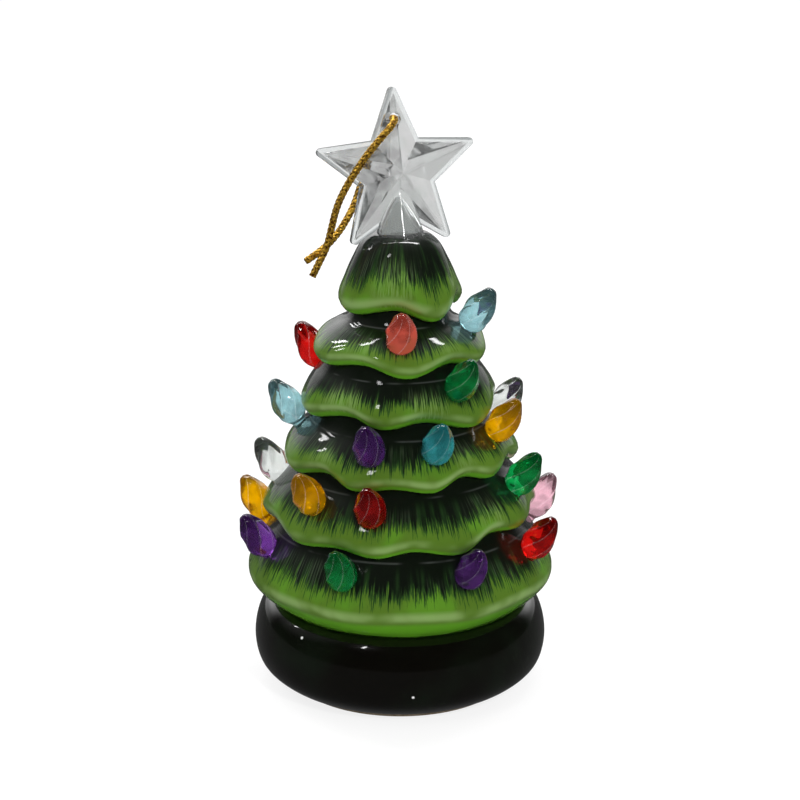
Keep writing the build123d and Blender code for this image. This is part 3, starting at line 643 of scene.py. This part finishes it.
def tree_glaze(colours):
    """Brushed green under clear glaze: dark under each hem, needle strokes, then a bright hem."""
    material, wiring, shader = new_material(
        "tree_glaze", Roughness=0.5, Specular_IOR_Level=0.1, Coat_Weight=1.0, Coat_Roughness=0.03,
        Coat_IOR=1.42)
    place = wiring.place()
    down = wiring.attribute("way_down")
    fold = wiring.attribute("fold")
    reach = wiring.attribute("reach")
    fine = wiring.noise(stroke_place(wiring, place, reach, FINE_STROKE), 1.0, 3.0, 0.65)
    broad = wiring.noise(stroke_place(wiring, place, reach, BROAD_STROKE), 1.0, 2.0)
    hairs = wiring.noise(stroke_place(wiring, place, reach, HAIR_STROKE), 1.0, 2.0, 0.6)
    cloud = wiring.noise(place, 110.0, 2.0)
    patches = wiring.noise(place, 70.0, 1.0)
    # Dark glaze with soft strokes and patches of pale brushed hairs, which also stand in for a painted sheen
    brushed = wiring.times(wiring.smooth(broad, 0.48, 0.72), wiring.smooth(down, 0.0, 0.3))
    combed = wiring.times(wiring.smooth(patches, 0.46, 0.66), wiring.smooth(down, 0.02, 0.25))
    pale_hair_and_sheen = wiring.times(wiring.smooth(hairs, 0.48, 0.68), combed)
    dark = wiring.blend(pale_hair_and_sheen, wiring.blend(brushed, colours.shade, colours.brush), colours.hair_and_sheen)
    # Needles and the bright hem, with a ragged edge
    jitter = wiring.plus(wiring.sway(fine, 1.3), wiring.sway(broad, 0.30))
    level = wiring.plus(down, wiring.plus(jitter, wiring.sway(cloud, 0.35)))
    body = wiring.blend(wiring.smooth(level, 0.44, 0.60), dark, colours.needle)
    grass = wiring.blend(wiring.smooth(cloud, 0.50, 0.72, 0.0, 0.5), colours.hem, colours.lip)
    leaf = wiring.blend(wiring.smooth(level, 0.61, 0.70), body, grass)
    # Pale streaks in the creases, and a painted highlight along the rims of the hems
    crease = wiring.times(wiring.smooth(fold, 0.35, 1.0), wiring.smooth(fine, 0.42, 0.60),
                          wiring.smooth(down, 0.15, 0.75), 0.5)
    # Painted highlight: a pale band along each hem's rounded edge
    rim_highlight = wiring.times(wiring.band(down, (0.84, 0.98), (1.10, 1.0)), wiring.smooth(cloud, 0.34, 0.60), 0.75)
    streaked_and_highlighted = wiring.blend(wiring.math("MAXIMUM", crease, rim_highlight), leaf, colours.streak_and_highlight)
    # Rolled lip, a painted highlight line at the brow and painted shade in the groove
    rolled = wiring.blend(wiring.smooth(down, 1.06, 1.14), streaked_and_highlighted, colours.lip)
    # Painted highlight: a thin light line just under each lip, standing in for a reflection
    brow = wiring.times(wiring.band(down, (-0.02, 0.0), (0.035, 0.012)), wiring.smooth(cloud, 0.42, 0.55))
    brow_highlighted = wiring.blend(brow, rolled, colours.brow)
    # Painted shade: the groove under each lip is darkened with the shade colour
    groove_shaded = wiring.blend(wiring.smooth(down, FOOT_WAY, 1.5), brow_highlighted, colours.shade)
    wiring.shade(shader, Base_Color=groove_shaded, Normal=wiring.bump(fine, 0.10, 0.4 * MM),
                 Coat_Normal=wiring.bump(fine, 0.03, 0.4 * MM))
    return material


class DressTree(bpy.types.Operator):
    """Make the scalloped tree with its brushed glaze"""
    bl_idname = "ceramic_tree.dress_tree"
    bl_label = "Tree"

    def execute(self, context):
        shape = context.scene.tree_shape
        glaze = tree_glaze(context.scene.glaze_colours)
        piece = add_piece("glazed_tree", tree_skin(shape))
        piece.data = run_group(piece, *relief_group(), {"Height": shape.relief, "Glaze": glaze})
        piece.data.shade_smooth()
        seat_piece(piece, "tree", "tree_glaze", "tree_body")
        return {"FINISHED"}


# Base

def base_glaze(colours):
    """Dark glaze with a green cast, small painted glints and a bare clay foot."""
    material, wiring, shader = new_material(
        "base_glaze", Specular_IOR_Level=0.1, Coat_Roughness=0.04, Coat_IOR=1.45)
    place = wiring.place()
    height = wiring.parts(place)[2]
    cloud = wiring.noise(place, 60.0, 3.0)
    dark = wiring.blend(wiring.smooth(cloud, 0.45, 0.75), colours.base, colours.shade)
    grains = wiring.noise(place, 1800.0, 2.0)
    clay = wiring.blend(wiring.smooth(grains, 0.35, 0.65), dimmed(colours.clay, 0.7), colours.clay)
    # Painted glints: small pale dots in the dark glaze
    cells = wiring.add("ShaderNodeTexVoronoi", {"Vector": place, "Scale": 160.0}).node.outputs
    painted_glint = wiring.smooth(cells["Distance"], 0.06, 0.04)
    glinted = wiring.blend(painted_glint, dark, (0.8, 0.8, 0.8))
    edge = wiring.plus(height, wiring.sway(cloud, 0.6 * MM))
    glazed = wiring.smooth(edge, 0.75 * MM, 1.05 * MM)
    wiring.shade(shader, Base_Color=wiring.blend(glazed, clay, glinted), Coat_Weight=glazed,
                 Roughness=wiring.minus(0.85, wiring.times(glazed, 0.6)),
                 Normal=wiring.bump(cloud, 0.04, 0.6 * MM))
    return material


class DressBase(bpy.types.Operator):
    """Make the round dark base with its bare foot"""
    bl_idname = "ceramic_tree.dress_base"
    bl_label = "Base"

    def execute(self, context):
        shape = context.scene.tree_shape
        outline = smooth_line([(share * shape.bulge_radius, level * shape.base_height)
                               for share, level in BASE_OUTLINE], shape.row_spacing)
        turns = np.arange(BASE_COLUMNS) * 2 * pi / BASE_COLUMNS
        points = []
        for radius, height in reversed(outline):
            level = np.full(BASE_COLUMNS, max(height, 0))
            points.append(np.stack((radius * np.sin(turns), -radius * np.cos(turns), level), 1))
        mesh = solid_mesh("base_skin", np.vstack(points), ring_faces(len(points), BASE_COLUMNS))
        give_material(mesh, base_glaze(context.scene.glaze_colours))
        seat_piece(add_piece("glazed_base", mesh), "tree", "base_glaze", "tree_base")
        return {"FINISHED"}


# Bulbs

def bulb_curve(wiring, along):
    """Share of a bulb's radius at a share of the way along it."""
    outline = wiring.add("ShaderNodeFloatCurve", {"Value": along})
    mapping = outline.node.mapping
    curve = mapping.curves[0]
    for spot, value in BULB_OUTLINE[1:-1]:
        curve.points.new(spot, value)
    curve.points[0].location = BULB_OUTLINE[0]
    curve.points[-1].location = BULB_OUTLINE[-1]
    mapping.update()
    return outline


def bulb_group():
    """Node group that stands a twisted bulb on each seat point."""
    tree, wiring, group, sockets = new_group("twisted_bulbs", {
        "Seats": "Geometry", "Radius": "Float", "Length": "Float", "Peg": "Float", "Flutes": "Int",
        "Flute Depth": "Float", "Twist": "Float", "Plastic": "Material"})
    mesh = wiring.add("GeometryNodeMeshGrid", {
        "Size X": 1.0, "Size Y": 1.0, "Vertices X": BULB_COLUMNS, "Vertices Y": BULB_POINTS_ALONG})
    flat = wiring.parts(wiring.add("GeometryNodeInputPosition"))
    angle = wiring.times(flat[0], 2 * pi)
    along = wiring.plus(flat[1], 0.5)
    turned = wiring.minus(angle, wiring.times(along, group["Twist"]))
    wave = wiring.times(turned, wiring.math("DIVIDE", group["Flutes"], 2.0))
    flute = wiring.math("ABSOLUTE", wiring.math("SINE", wave))
    depth = wiring.times(group["Flute Depth"], wiring.smooth(along, *FLUTES_FROM))
    reach = wiring.times(bulb_curve(wiring, along), group["Radius"],
                         wiring.minus(1.0, wiring.times(depth, flute)))
    total = wiring.plus(group["Length"], group["Peg"])
    place = wiring.join(x=wiring.times(reach, wiring.math("COSINE", angle)),
                        y=wiring.times(reach, wiring.math("SINE", angle)),
                        z=wiring.minus(wiring.times(along, total), group["Peg"]))
    for name, value in (("ridge", wiring.minus(1.0, flute)), ("along", along)):
        mesh = wiring.add("GeometryNodeStoreNamedAttribute",
                          {"Geometry": mesh, "Name": name, "Value": value}, data_type="FLOAT")
    shaped = wiring.add("GeometryNodeSetPosition", {"Geometry": mesh, "Position": place})
    closed = wiring.add("GeometryNodeMergeByDistance", {"Geometry": shaped, "Distance": BULB_JOIN})
    smooth = wiring.add("GeometryNodeSetShadeSmooth", {"Geometry": closed})
    upright = wiring.add("FunctionNodeAlignRotationToVector",
                         {"Vector": wiring.kept("axis", "FLOAT_VECTOR")}, axis="Z")
    spin = wiring.add("FunctionNodeAxisAngleToRotation", {"Axis": (0, 0, 1), "Angle": wiring.kept("spin")})
    stance = wiring.add("FunctionNodeRotateRotation", {0: upright, 1: spin}, rotation_space="LOCAL")
    bulbs = wiring.add("GeometryNodeInstanceOnPoints",
                       {"Points": group["Seats"], "Instance": smooth, "Rotation": stance})
    end_group(wiring, bulbs, group["Plastic"])
    return tree, sockets


def bulb_plastic(colour):
    """Translucent moulded plastic, deeper in patches and towards the tip, with a painted highlight along the
    ridges.
    """
    tint, clearness = BULB_COLOURS[colour]
    material, wiring, shader = new_material(
        "bulb_" + colour, IOR=PLASTIC_IOR, Transmission_Weight=clearness)
    place = wiring.place()
    flow = wiring.noise(place, 420.0, 3.0, 0.6)
    patch = wiring.noise(place, 240.0, 1.0)
    deep = dimmed(tint, 0.35)
    pale = [part + 0.6 * (1 - part) for part in tint]
    depth = wiring.plus(wiring.attribute("along"), wiring.times(flow, 0.3))
    patched = wiring.blend(wiring.smooth(patch, 0.46, 0.60, 0.0, 0.6), tint, deep)
    body = wiring.blend(wiring.smooth(depth, 0.85, 1.1), patched, deep)
    # Painted highlight: paler lines along the ridges of the flutes
    line = wiring.smooth(wiring.attribute("ridge"), 0.80, 0.98, 0.0, 0.55)
    wiring.shade(shader, Base_Color=wiring.blend(line, body, pale),
                 Roughness=wiring.smooth(flow, 0.3, 0.8, 0.02, 0.08),
                 Normal=wiring.bump(flow, 0.08, 0.4 * MM))
    return material


def bulb_seats(shape, bulb):
    """Seat of every bulb, from the top row down."""
    out, down, share = BULB_PLACE
    seats = []
    for tier, row in enumerate(BULB_ROWS):
        for azimuth, stand, colour in row:
            radius, height = skirt(shape, tier, out, down)
            crease, rise = [found[0] for found in wave_at(tier, np.array([float(azimuth)]))]
            skin = polar(radius - share * crease * shape.crease_depth, azimuth, height + share * rise)
            axis = polar(cos(bulb.lift), azimuth, sin(bulb.lift))
            seats.append(Seat(
                node=f"bulb_{len(seats) + 1:02d}_{colour}", colour=colour,
                point=skin + axis * (stand * MM - bulb.sink), axis=axis,
                spin=radians(BULB_SPIN * len(seats))))
    return seats


class SetBulbs(bpy.types.Operator):
    """Set the twisted bulbs in their seats, one piece for each colour"""
    bl_idname = "ceramic_tree.set_bulbs"
    bl_label = "Bulbs"

    def execute(self, context):
        bulb = context.scene.bulb_shape
        tree, sockets = bulb_group()
        seats = bulb_seats(context.scene.tree_shape, bulb)
        for colour in BULB_COLOURS:
            chosen = [seat for seat in seats if seat.colour == colour]
            mesh = bpy.data.meshes.new("seats_" + colour)
            mesh.from_pydata([seat.point for seat in chosen], [], [])
            axes = mesh.attributes.new("axis", "FLOAT_VECTOR", "POINT")
            axes.data.foreach_set("vector", [part for seat in chosen for part in seat.axis])
            spins = mesh.attributes.new("spin", "FLOAT", "POINT")
            spins.data.foreach_set("value", [seat.spin for seat in chosen])
            piece = add_piece("bulbs_" + colour, mesh)
            piece.data = run_group(piece, tree, sockets, {
                "Radius": bulb.radius, "Length": bulb.length, "Peg": bulb.peg_length,
                "Flutes": bulb.flutes, "Flute Depth": bulb.flute_depth, "Twist": bulb.twist,
                "Plastic": bulb_plastic(colour),
            })
            seat_piece(piece, "tree", "bulb_" + colour, *[seat.node for seat in chosen])
        return {"FINISHED"}


# Star

def star_place(loop, shape):
    """Place on top of the crown, turned and tipped back as the star stands."""
    top = Matrix.Translation((0, 0, shape.base_height + shape.tree_height))
    return top @ Matrix.Rotation(loop.star_turn, 4, "Z") @ Matrix.Rotation(-loop.star_pitch, 4, "X")


def facet_light_and_shade(wiring, angle, arms):
    """Painted light and shade on each facet of the clear star: lighter where the facet faces right, darker
    where it faces left.
    """
    ramp = wiring.add("ShaderNodeValToRGB", {0: wiring.math("FRACT", wiring.plus(angle, 1.0))})
    colours = ramp.node.color_ramp
    colours.interpolation = "CONSTANT"
    facets = 2 * arms
    for facet in range(facets):
        side = 1 if facet % 2 == 0 else -1
        arm = 2 * pi * ceil(facet / 2) / arms
        grey = 0.46 + 0.20 * sin(arm + side * FACET_LEAN)
        spot = colours.elements[0] if facet == 0 else colours.elements.new(facet / facets)
        spot.color = (grey, grey, grey, 1)
    colours.elements.remove(colours.elements[-1])
    return ramp


def star_plastic(loop, stand):
    """Clear moulded plastic with painted light and shade: facets lighter where they face right, a painted
    highlight on the flat outer flange, a painted dark outline and a grey socket.
    """
    haze = (0.58, 0.60, 0.59)
    socket_grey = (0.56, 0.58, 0.57)
    rim_highlight_grey = (0.78, 0.80, 0.80)
    edge_shade_grey = (0.40, 0.42, 0.42)
    material, wiring, shader = new_material("star_plastic", IOR=PLASTIC_IOR, Transmission_Weight=0.86)
    place = wiring.place()
    from_middle = wiring.vector("SUBTRACT", place, stand @ Vector((0, 0, loop.star_rise)))
    axes = stand.to_3x3()
    right, back, up = [wiring.dot(from_middle, axes.col[part]) for part in range(3)]
    angle = wiring.math("DIVIDE", wiring.math("ARCTAN2", right, up), 2 * pi)
    flow = wiring.noise(place, 260.0, 2.0)
    clouded = wiring.blend(wiring.smooth(flow, 0.35, 0.7), facet_light_and_shade(wiring, angle, loop.star_arms), haze)
    socket = wiring.times(wiring.smooth(wiring.math("ABSOLUTE", right), 4.6 * MM, 4.0 * MM),
                          wiring.smooth(up, -3.0 * MM, -4.5 * MM))
    moulded = wiring.blend(socket, clouded, socket_grey)
    # Painted highlight: the flat outer flange is made paler
    rim_highlight = wiring.smooth(wiring.math("ABSOLUTE", back), 0.95 * MM, 0.82 * MM)
    flange = wiring.blend(rim_highlight, moulded, rim_highlight_grey)
    # Distance out from the middle, square to the star's nearest edge
    folded = wiring.math("PINGPONG", wiring.times(angle, loop.star_arms), 0.5)
    off_arm = wiring.times(folded, 2 * pi / loop.star_arms)
    squares = wiring.plus(wiring.math("POWER", right, 2.0), wiring.math("POWER", up, 2.0))
    out = wiring.times(wiring.math("SQRT", squares),
                       wiring.math("COSINE", wiring.minus(off_arm, FACET_LEAN)))
    # Painted shade: a dark outline along the star's outer edge
    edge = wiring.times(rim_highlight, wiring.smooth(out, 6.85 * MM, 7.1 * MM))
    wiring.shade(shader, Base_Color=wiring.blend(edge, flange, edge_shade_grey),
                 Roughness=wiring.smooth(flow, 0.3, 0.8, 0.03, 0.09))
    return material


class DressStar(bpy.types.Operator):
    """Give the faceted star its clear plastic"""
    bl_idname = "ceramic_tree.dress_star"
    bl_label = "Star"

    def execute(self, context):
        loop = context.scene.loop_shape
        give_finish("star_topper", star_plastic(loop, star_place(loop, context.scene.tree_shape)))
        return {"FINISHED"}


# Hanging loop

def strand_path(loop, stand, route):
    """Points along the smooth centre line of a strand."""
    curve = bpy.data.curves.new("strand_line", "CURVE")
    curve.dimensions = "3D"
    curve.resolution_u = 12
    spline = curve.splines.new("NURBS")
    spline.points.add(len(route) - 1)
    for point, (right, ahead, up) in zip(spline.points, route):
        point.co = (*(stand @ Vector((right, -ahead, loop.star_rise + up))), 1)
    spline.order_u = 3
    spline.use_endpoint_u = True
    guide = add_piece("strand_guide", curve)
    shown = bpy.context.evaluated_depsgraph_get()
    line = bpy.data.meshes.new_from_object(guide.evaluated_get(shown))
    path = [vertex.co.copy() for vertex in line.vertices]
    bpy.data.objects.remove(guide)
    return path


def cord_frames(centres):
    """Two ways across a cord at each of its centres, carried along it without a twist."""
    tangents = np.gradient(centres, axis=0)
    tangents /= np.linalg.norm(tangents, axis=1)[:, None]
    side = np.cross(tangents[0], (0.3, 0.2, 0.9))
    frames = []
    for tangent in tangents:
        side = side - tangent * np.dot(side, tangent)
        side /= np.linalg.norm(side)
        frames.append((side, np.cross(tangent, side)))
    return frames


def twisted_cord(name, path, loop):
    """Mesh of plies twisted round a path."""
    lengths = [0.0]
    for before, after in zip(path, path[1:]):
        lengths.append(lengths[-1] + (after - before).length)
    spots = np.arange(0, lengths[-1], PLY_STEP)
    centres = np.stack([np.interp(spots, lengths, [point[part] for point in path]) for part in range(3)], 1)
    frames = cord_frames(centres)
    ply_radius = PLY_SHARE * loop.diameter
    swing = 0.5 * loop.diameter - ply_radius
    corners = range(PLY_SIDES)
    vertices, faces = [], []
    for ply in range(loop.plies):
        start = len(vertices)
        for spot, centre, (first, second) in zip(spots, centres, frames):
            phase = 2 * pi * (spot / loop.lay + ply / loop.plies)
            middle = centre + swing * (cos(phase) * first + sin(phase) * second)
            for corner in corners:
                angle = 2 * pi * corner / PLY_SIDES
                vertices.append(middle + ply_radius * (cos(angle) * first + sin(angle) * second))
        last = len(vertices) - PLY_SIDES
        for low in range(start, last, PLY_SIDES):
            high = low + PLY_SIDES
            for corner in corners:
                beside = (corner + 1) % PLY_SIDES
                faces.append((low + corner, low + beside, high + beside, high + corner))
        faces.append(tuple(start + corner for corner in reversed(corners)))
        faces.append(tuple(last + corner for corner in corners))
    return solid_mesh(name, vertices, faces)


def gold_thread(loop):
    """Gold foil thread with dark brown flecks spread by a fine noise."""
    material, wiring, shader = new_material("gold_thread", Metallic=0.85)
    flecks = wiring.noise(wiring.place(), 2200.0, 2.0, 0.6)
    foil = wiring.smooth(flecks, 0.42, 0.54)
    brown = [share * part for share, part in zip((0.16, 0.10, 0.10), loop.gold)]
    wiring.shade(shader, Base_Color=wiring.blend(foil, brown, loop.gold),
                 Roughness=wiring.minus(0.6, wiring.times(foil, 0.32)),
                 Normal=wiring.bump(flecks, 0.5, 0.2 * MM))
    return material


class TieLoop(bpy.types.Operator):
    """Hang the two strands of gold cord in the star"""
    bl_idname = "ceramic_tree.tie_loop"
    bl_label = "Hanging loop"

    def execute(self, context):
        loop = context.scene.loop_shape
        stand = star_place(loop, context.scene.tree_shape)
        gold = gold_thread(loop)
        strands = (("front", FRONT_STRAND, loop.front_length), ("back", BACK_STRAND, loop.back_length))
        for name, route, length in strands:
            path = strand_path(loop, stand, route)
            mesh = twisted_cord("gold_strand_" + name, path, loop)
            give_material(mesh, gold)
            piece = add_piece("gold_strand_" + name, mesh)
            seat_piece(piece, "hanging_loop", "gold_cord", "hang_cord_" + name)
        return {"FINISHED"}


# Battery light

def plain_plastic(name, colour, roughness):
    """Moulded plastic with a fine grain."""
    material, wiring, shader = new_material(name)
    grain = wiring.noise(wiring.place(), 2400.0, 3.0)
    grained = wiring.blend(wiring.smooth(grain, 0.3, 0.7), dimmed(colour, 0.9), colour)
    wiring.shade(shader, Base_Color=grained,
                 Roughness=wiring.smooth(grain, 0.2, 0.8, roughness - 0.08, roughness + 0.08),
                 Normal=wiring.bump(grain, 0.08, 0.3 * MM))
    return material


def plated_metal(name, colour, roughness):
    """Plated metal with fine scratches."""
    material, wiring, shader = new_material(name, Metallic=1.0)
    drawn = wiring.add("ShaderNodeMapping", {"Vector": wiring.place(), "Scale": (1.0, 1.0, 0.1)})
    scratches = wiring.noise(drawn, 3200.0, 2.0)
    scratched = wiring.blend(wiring.smooth(scratches, 0.3, 0.7), dimmed(colour, 0.8), colour)
    wiring.shade(shader, Base_Color=scratched,
                 Roughness=wiring.smooth(scratches, 0.2, 0.8, roughness - 0.08, roughness + 0.10))
    return material


class DressLight(bpy.types.Operator):
    """Give the battery light in the underside its finishes"""
    bl_idname = "ceramic_tree.dress_light"
    bl_label = "Battery light"

    def execute(self, context):
        finishes = (
            (plain_plastic("housing_plastic", (0.80, 0.80, 0.77), 0.45), ("light_housing", "battery_door")),
            (plain_plastic("knob_plastic", (0.03, 0.03, 0.03), 0.5), ("switch_knob",)),
            (plain_plastic("board_mask", (0.03, 0.20, 0.08), 0.35), ("light_board",)),
            (plain_plastic("led_lens", (0.90, 0.90, 0.80), 0.25), ("light_led",)),
            (plated_metal("plated_steel", (0.62, 0.62, 0.60), 0.32),
             ("door_screw", "flat_contact", "spring_contact", "switch_can")),
            (plated_metal("cell_steel", (0.74, 0.74, 0.72), 0.25),
             ("button_cell_1", "button_cell_2", "button_cell_3")),
        )
        for material, nodes in finishes:
            for node in nodes:
                give_finish(node, material)
        return {"FINISHED"}


# Stage

def white_floor():
    """Pale floor that looks white and keeps a soft shadow."""
    material = bpy.data.materials.new("pale_floor")
    material.use_nodes = True
    material.node_tree.nodes.clear()
    wiring = Wiring(material.node_tree)
    rays = wiring.add("ShaderNodeLightPath").node.outputs
    seen = wiring.math("MAXIMUM", rays["Is Camera Ray"], rays["Is Transmission Ray"])
    mirrored = wiring.minus(rays["Is Glossy Ray"], rays["Is Transmission Ray"])
    plain = wiring.add("ShaderNodeBsdfDiffuse", {"Color": (0.8, 0.8, 0.8, 1)})
    faint = wiring.add("ShaderNodeBsdfDiffuse", {"Color": (0.22, 0.22, 0.22, 1)})
    glow = wiring.add("ShaderNodeEmission", {"Color": (1, 1, 1, 1), "Strength": 0.82})
    dim = wiring.add("ShaderNodeEmission", {"Color": (1, 1, 1, 1), "Strength": 0.07})
    white = wiring.add("ShaderNodeAddShader", {0: faint, 1: glow})
    shown = wiring.add("ShaderNodeMixShader", {0: seen, 1: plain, 2: white})
    surface = wiring.add("ShaderNodeMixShader", {0: mirrored, 1: shown, 2: dim})
    wiring.add("ShaderNodeOutputMaterial", {"Surface": surface})
    return material


def studio_world(ambient):
    """White surroundings behind the object, dark in front and above, with an even soft light."""
    world = bpy.data.worlds.new("studio")
    world.use_nodes = True
    world.node_tree.nodes.clear()
    wiring = Wiring(world.node_tree)
    rays = wiring.add("ShaderNodeLightPath").node.outputs
    heading = wiring.add("ShaderNodeTexCoord", output=0)
    _, behind, up = wiring.parts(heading)
    # What the glaze mirrors: a faint grey all round, a backdrop, a sheen at the left and a skylight
    backdrop = wiring.times(wiring.smooth(behind, 0.50, 0.95),
                            wiring.smooth(wiring.math("ABSOLUTE", up), 0.60, 0.25), 0.75)
    softbox = wiring.dot(heading, Vector((-0.66, 0.20, 0.72)).normalized())
    sheen = wiring.times(wiring.smooth(softbox, 0.82, 0.99), 0.15)
    skylight = wiring.times(wiring.smooth(behind, 0.55, 0.85),
                            wiring.band(up, (0.08, 0.35), (0.95, 0.75)), 1.2)
    mirrored = wiring.plus(wiring.plus(0.010, skylight), wiring.plus(backdrop, sheen))
    through = wiring.smooth(behind, -0.7, 0.4, 0.30, 1.0)
    strength = ambient
    for ray, glow in (("Is Glossy Ray", mirrored), ("Is Transmission Ray", through), ("Is Camera Ray", 1.0)):
        strength = wiring.add("ShaderNodeMix", {0: rays[ray], 2: strength, 3: glow}, data_type="FLOAT")
    light = wiring.add("ShaderNodeBackground", {"Color": (1, 1, 1, 1), "Strength": strength})
    wiring.add("ShaderNodeOutputWorld", {"Surface": light})
    return world


def add_aimed(name, data, place, aim):
    """Object of a lamp or a camera at a place, pointed at an aim."""
    holder = add_piece(name, data)
    look = (Vector(aim) - Vector(place)).to_track_quat("-Z", "Y")
    holder.matrix_world = Matrix.Translation(place) @ look.to_matrix().to_4x4()
    return holder


def add_lamp(name, place, size, power, mirrored):
    """Rectangular lamp that shows in the glaze if it is mirrored."""
    lamp = bpy.data.lights.new(name, "AREA")
    lamp.shape = "RECTANGLE"
    lamp.size, lamp.size_y = size
    lamp.energy = power
    holder = add_aimed(name, lamp, place, LAMP_AIM)
    holder.visible_camera = False
    holder.visible_glossy = mirrored


class SetStage(bpy.types.Operator):
    """Set the pale floor, the studio lights and the camera"""
    bl_idname = "ceramic_tree.set_stage"
    bl_label = "Stage"

    def execute(self, context):
        scene = context.scene
        studio = scene.studio_set
        corners = [(FLOOR_REACH * x, FLOOR_REACH * y, 0) for x, y in ((-1, -1), (1, -1), (1, 1), (-1, 1))]
        mesh = solid_mesh("floor", corners, [(0, 1, 2, 3)])
        give_material(mesh, white_floor())
        add_piece("floor", mesh)
        scene.world = studio_world(studio.ambient)
        for lamp in LAMPS:
            add_lamp(*lamp)
        camera = bpy.data.cameras.new("photo_camera")
        camera.lens = studio.lens
        scene.camera = add_aimed("photo_camera", camera, studio.camera_place, studio.camera_aim)
        scene.view_settings.view_transform = "Standard"
        return {"FINISHED"}


OPERATORS = (DressTree, DressBase, SetBulbs, DressStar, TieLoop, DressLight, SetStage)
SETTINGS = (
    ("tree_shape", TreeShape), ("glaze_colours", GlazeColours), ("bulb_shape", BulbShape),
    ("loop_shape", LoopShape), ("studio_set", StudioSet),
)


class TreePanel(bpy.types.Panel):
    """Lists the pieces of the tree"""
    bl_idname = "VIEW3D_PT_ceramic_tree"
    bl_label = "Ceramic Tree"
    bl_space_type = "VIEW_3D"
    bl_region_type = "UI"
    bl_category = "Ceramic Tree"

    def draw(self, context):
        for operator in OPERATORS:
            self.layout.operator(operator.bl_idname)


def register():
    """Registers the settings, the operators and the panel."""
    for name, group in SETTINGS:
        bpy.utils.register_class(group)
        setattr(bpy.types.Scene, name, PointerProperty(type=group))
    for each in (*OPERATORS, TreePanel):
        bpy.utils.register_class(each)


def unregister():
    """Takes them away again."""
    for each in (TreePanel, *reversed(OPERATORS)):
        bpy.utils.unregister_class(each)
    for name, group in reversed(SETTINGS):
        delattr(bpy.types.Scene, name)
        bpy.utils.unregister_class(group)


def main():
    """Makes every piece in order."""
    register()
    bpy.ops.ceramic_tree.set_stage()
    bpy.ops.ceramic_tree.tie_loop()
    bpy.ops.ceramic_tree.dress_tree()
    bpy.ops.ceramic_tree.dress_base()
    bpy.ops.ceramic_tree.set_bulbs()
    bpy.ops.ceramic_tree.dress_star()
    bpy.ops.ceramic_tree.dress_light()


if __name__ == "__main__":
    main()
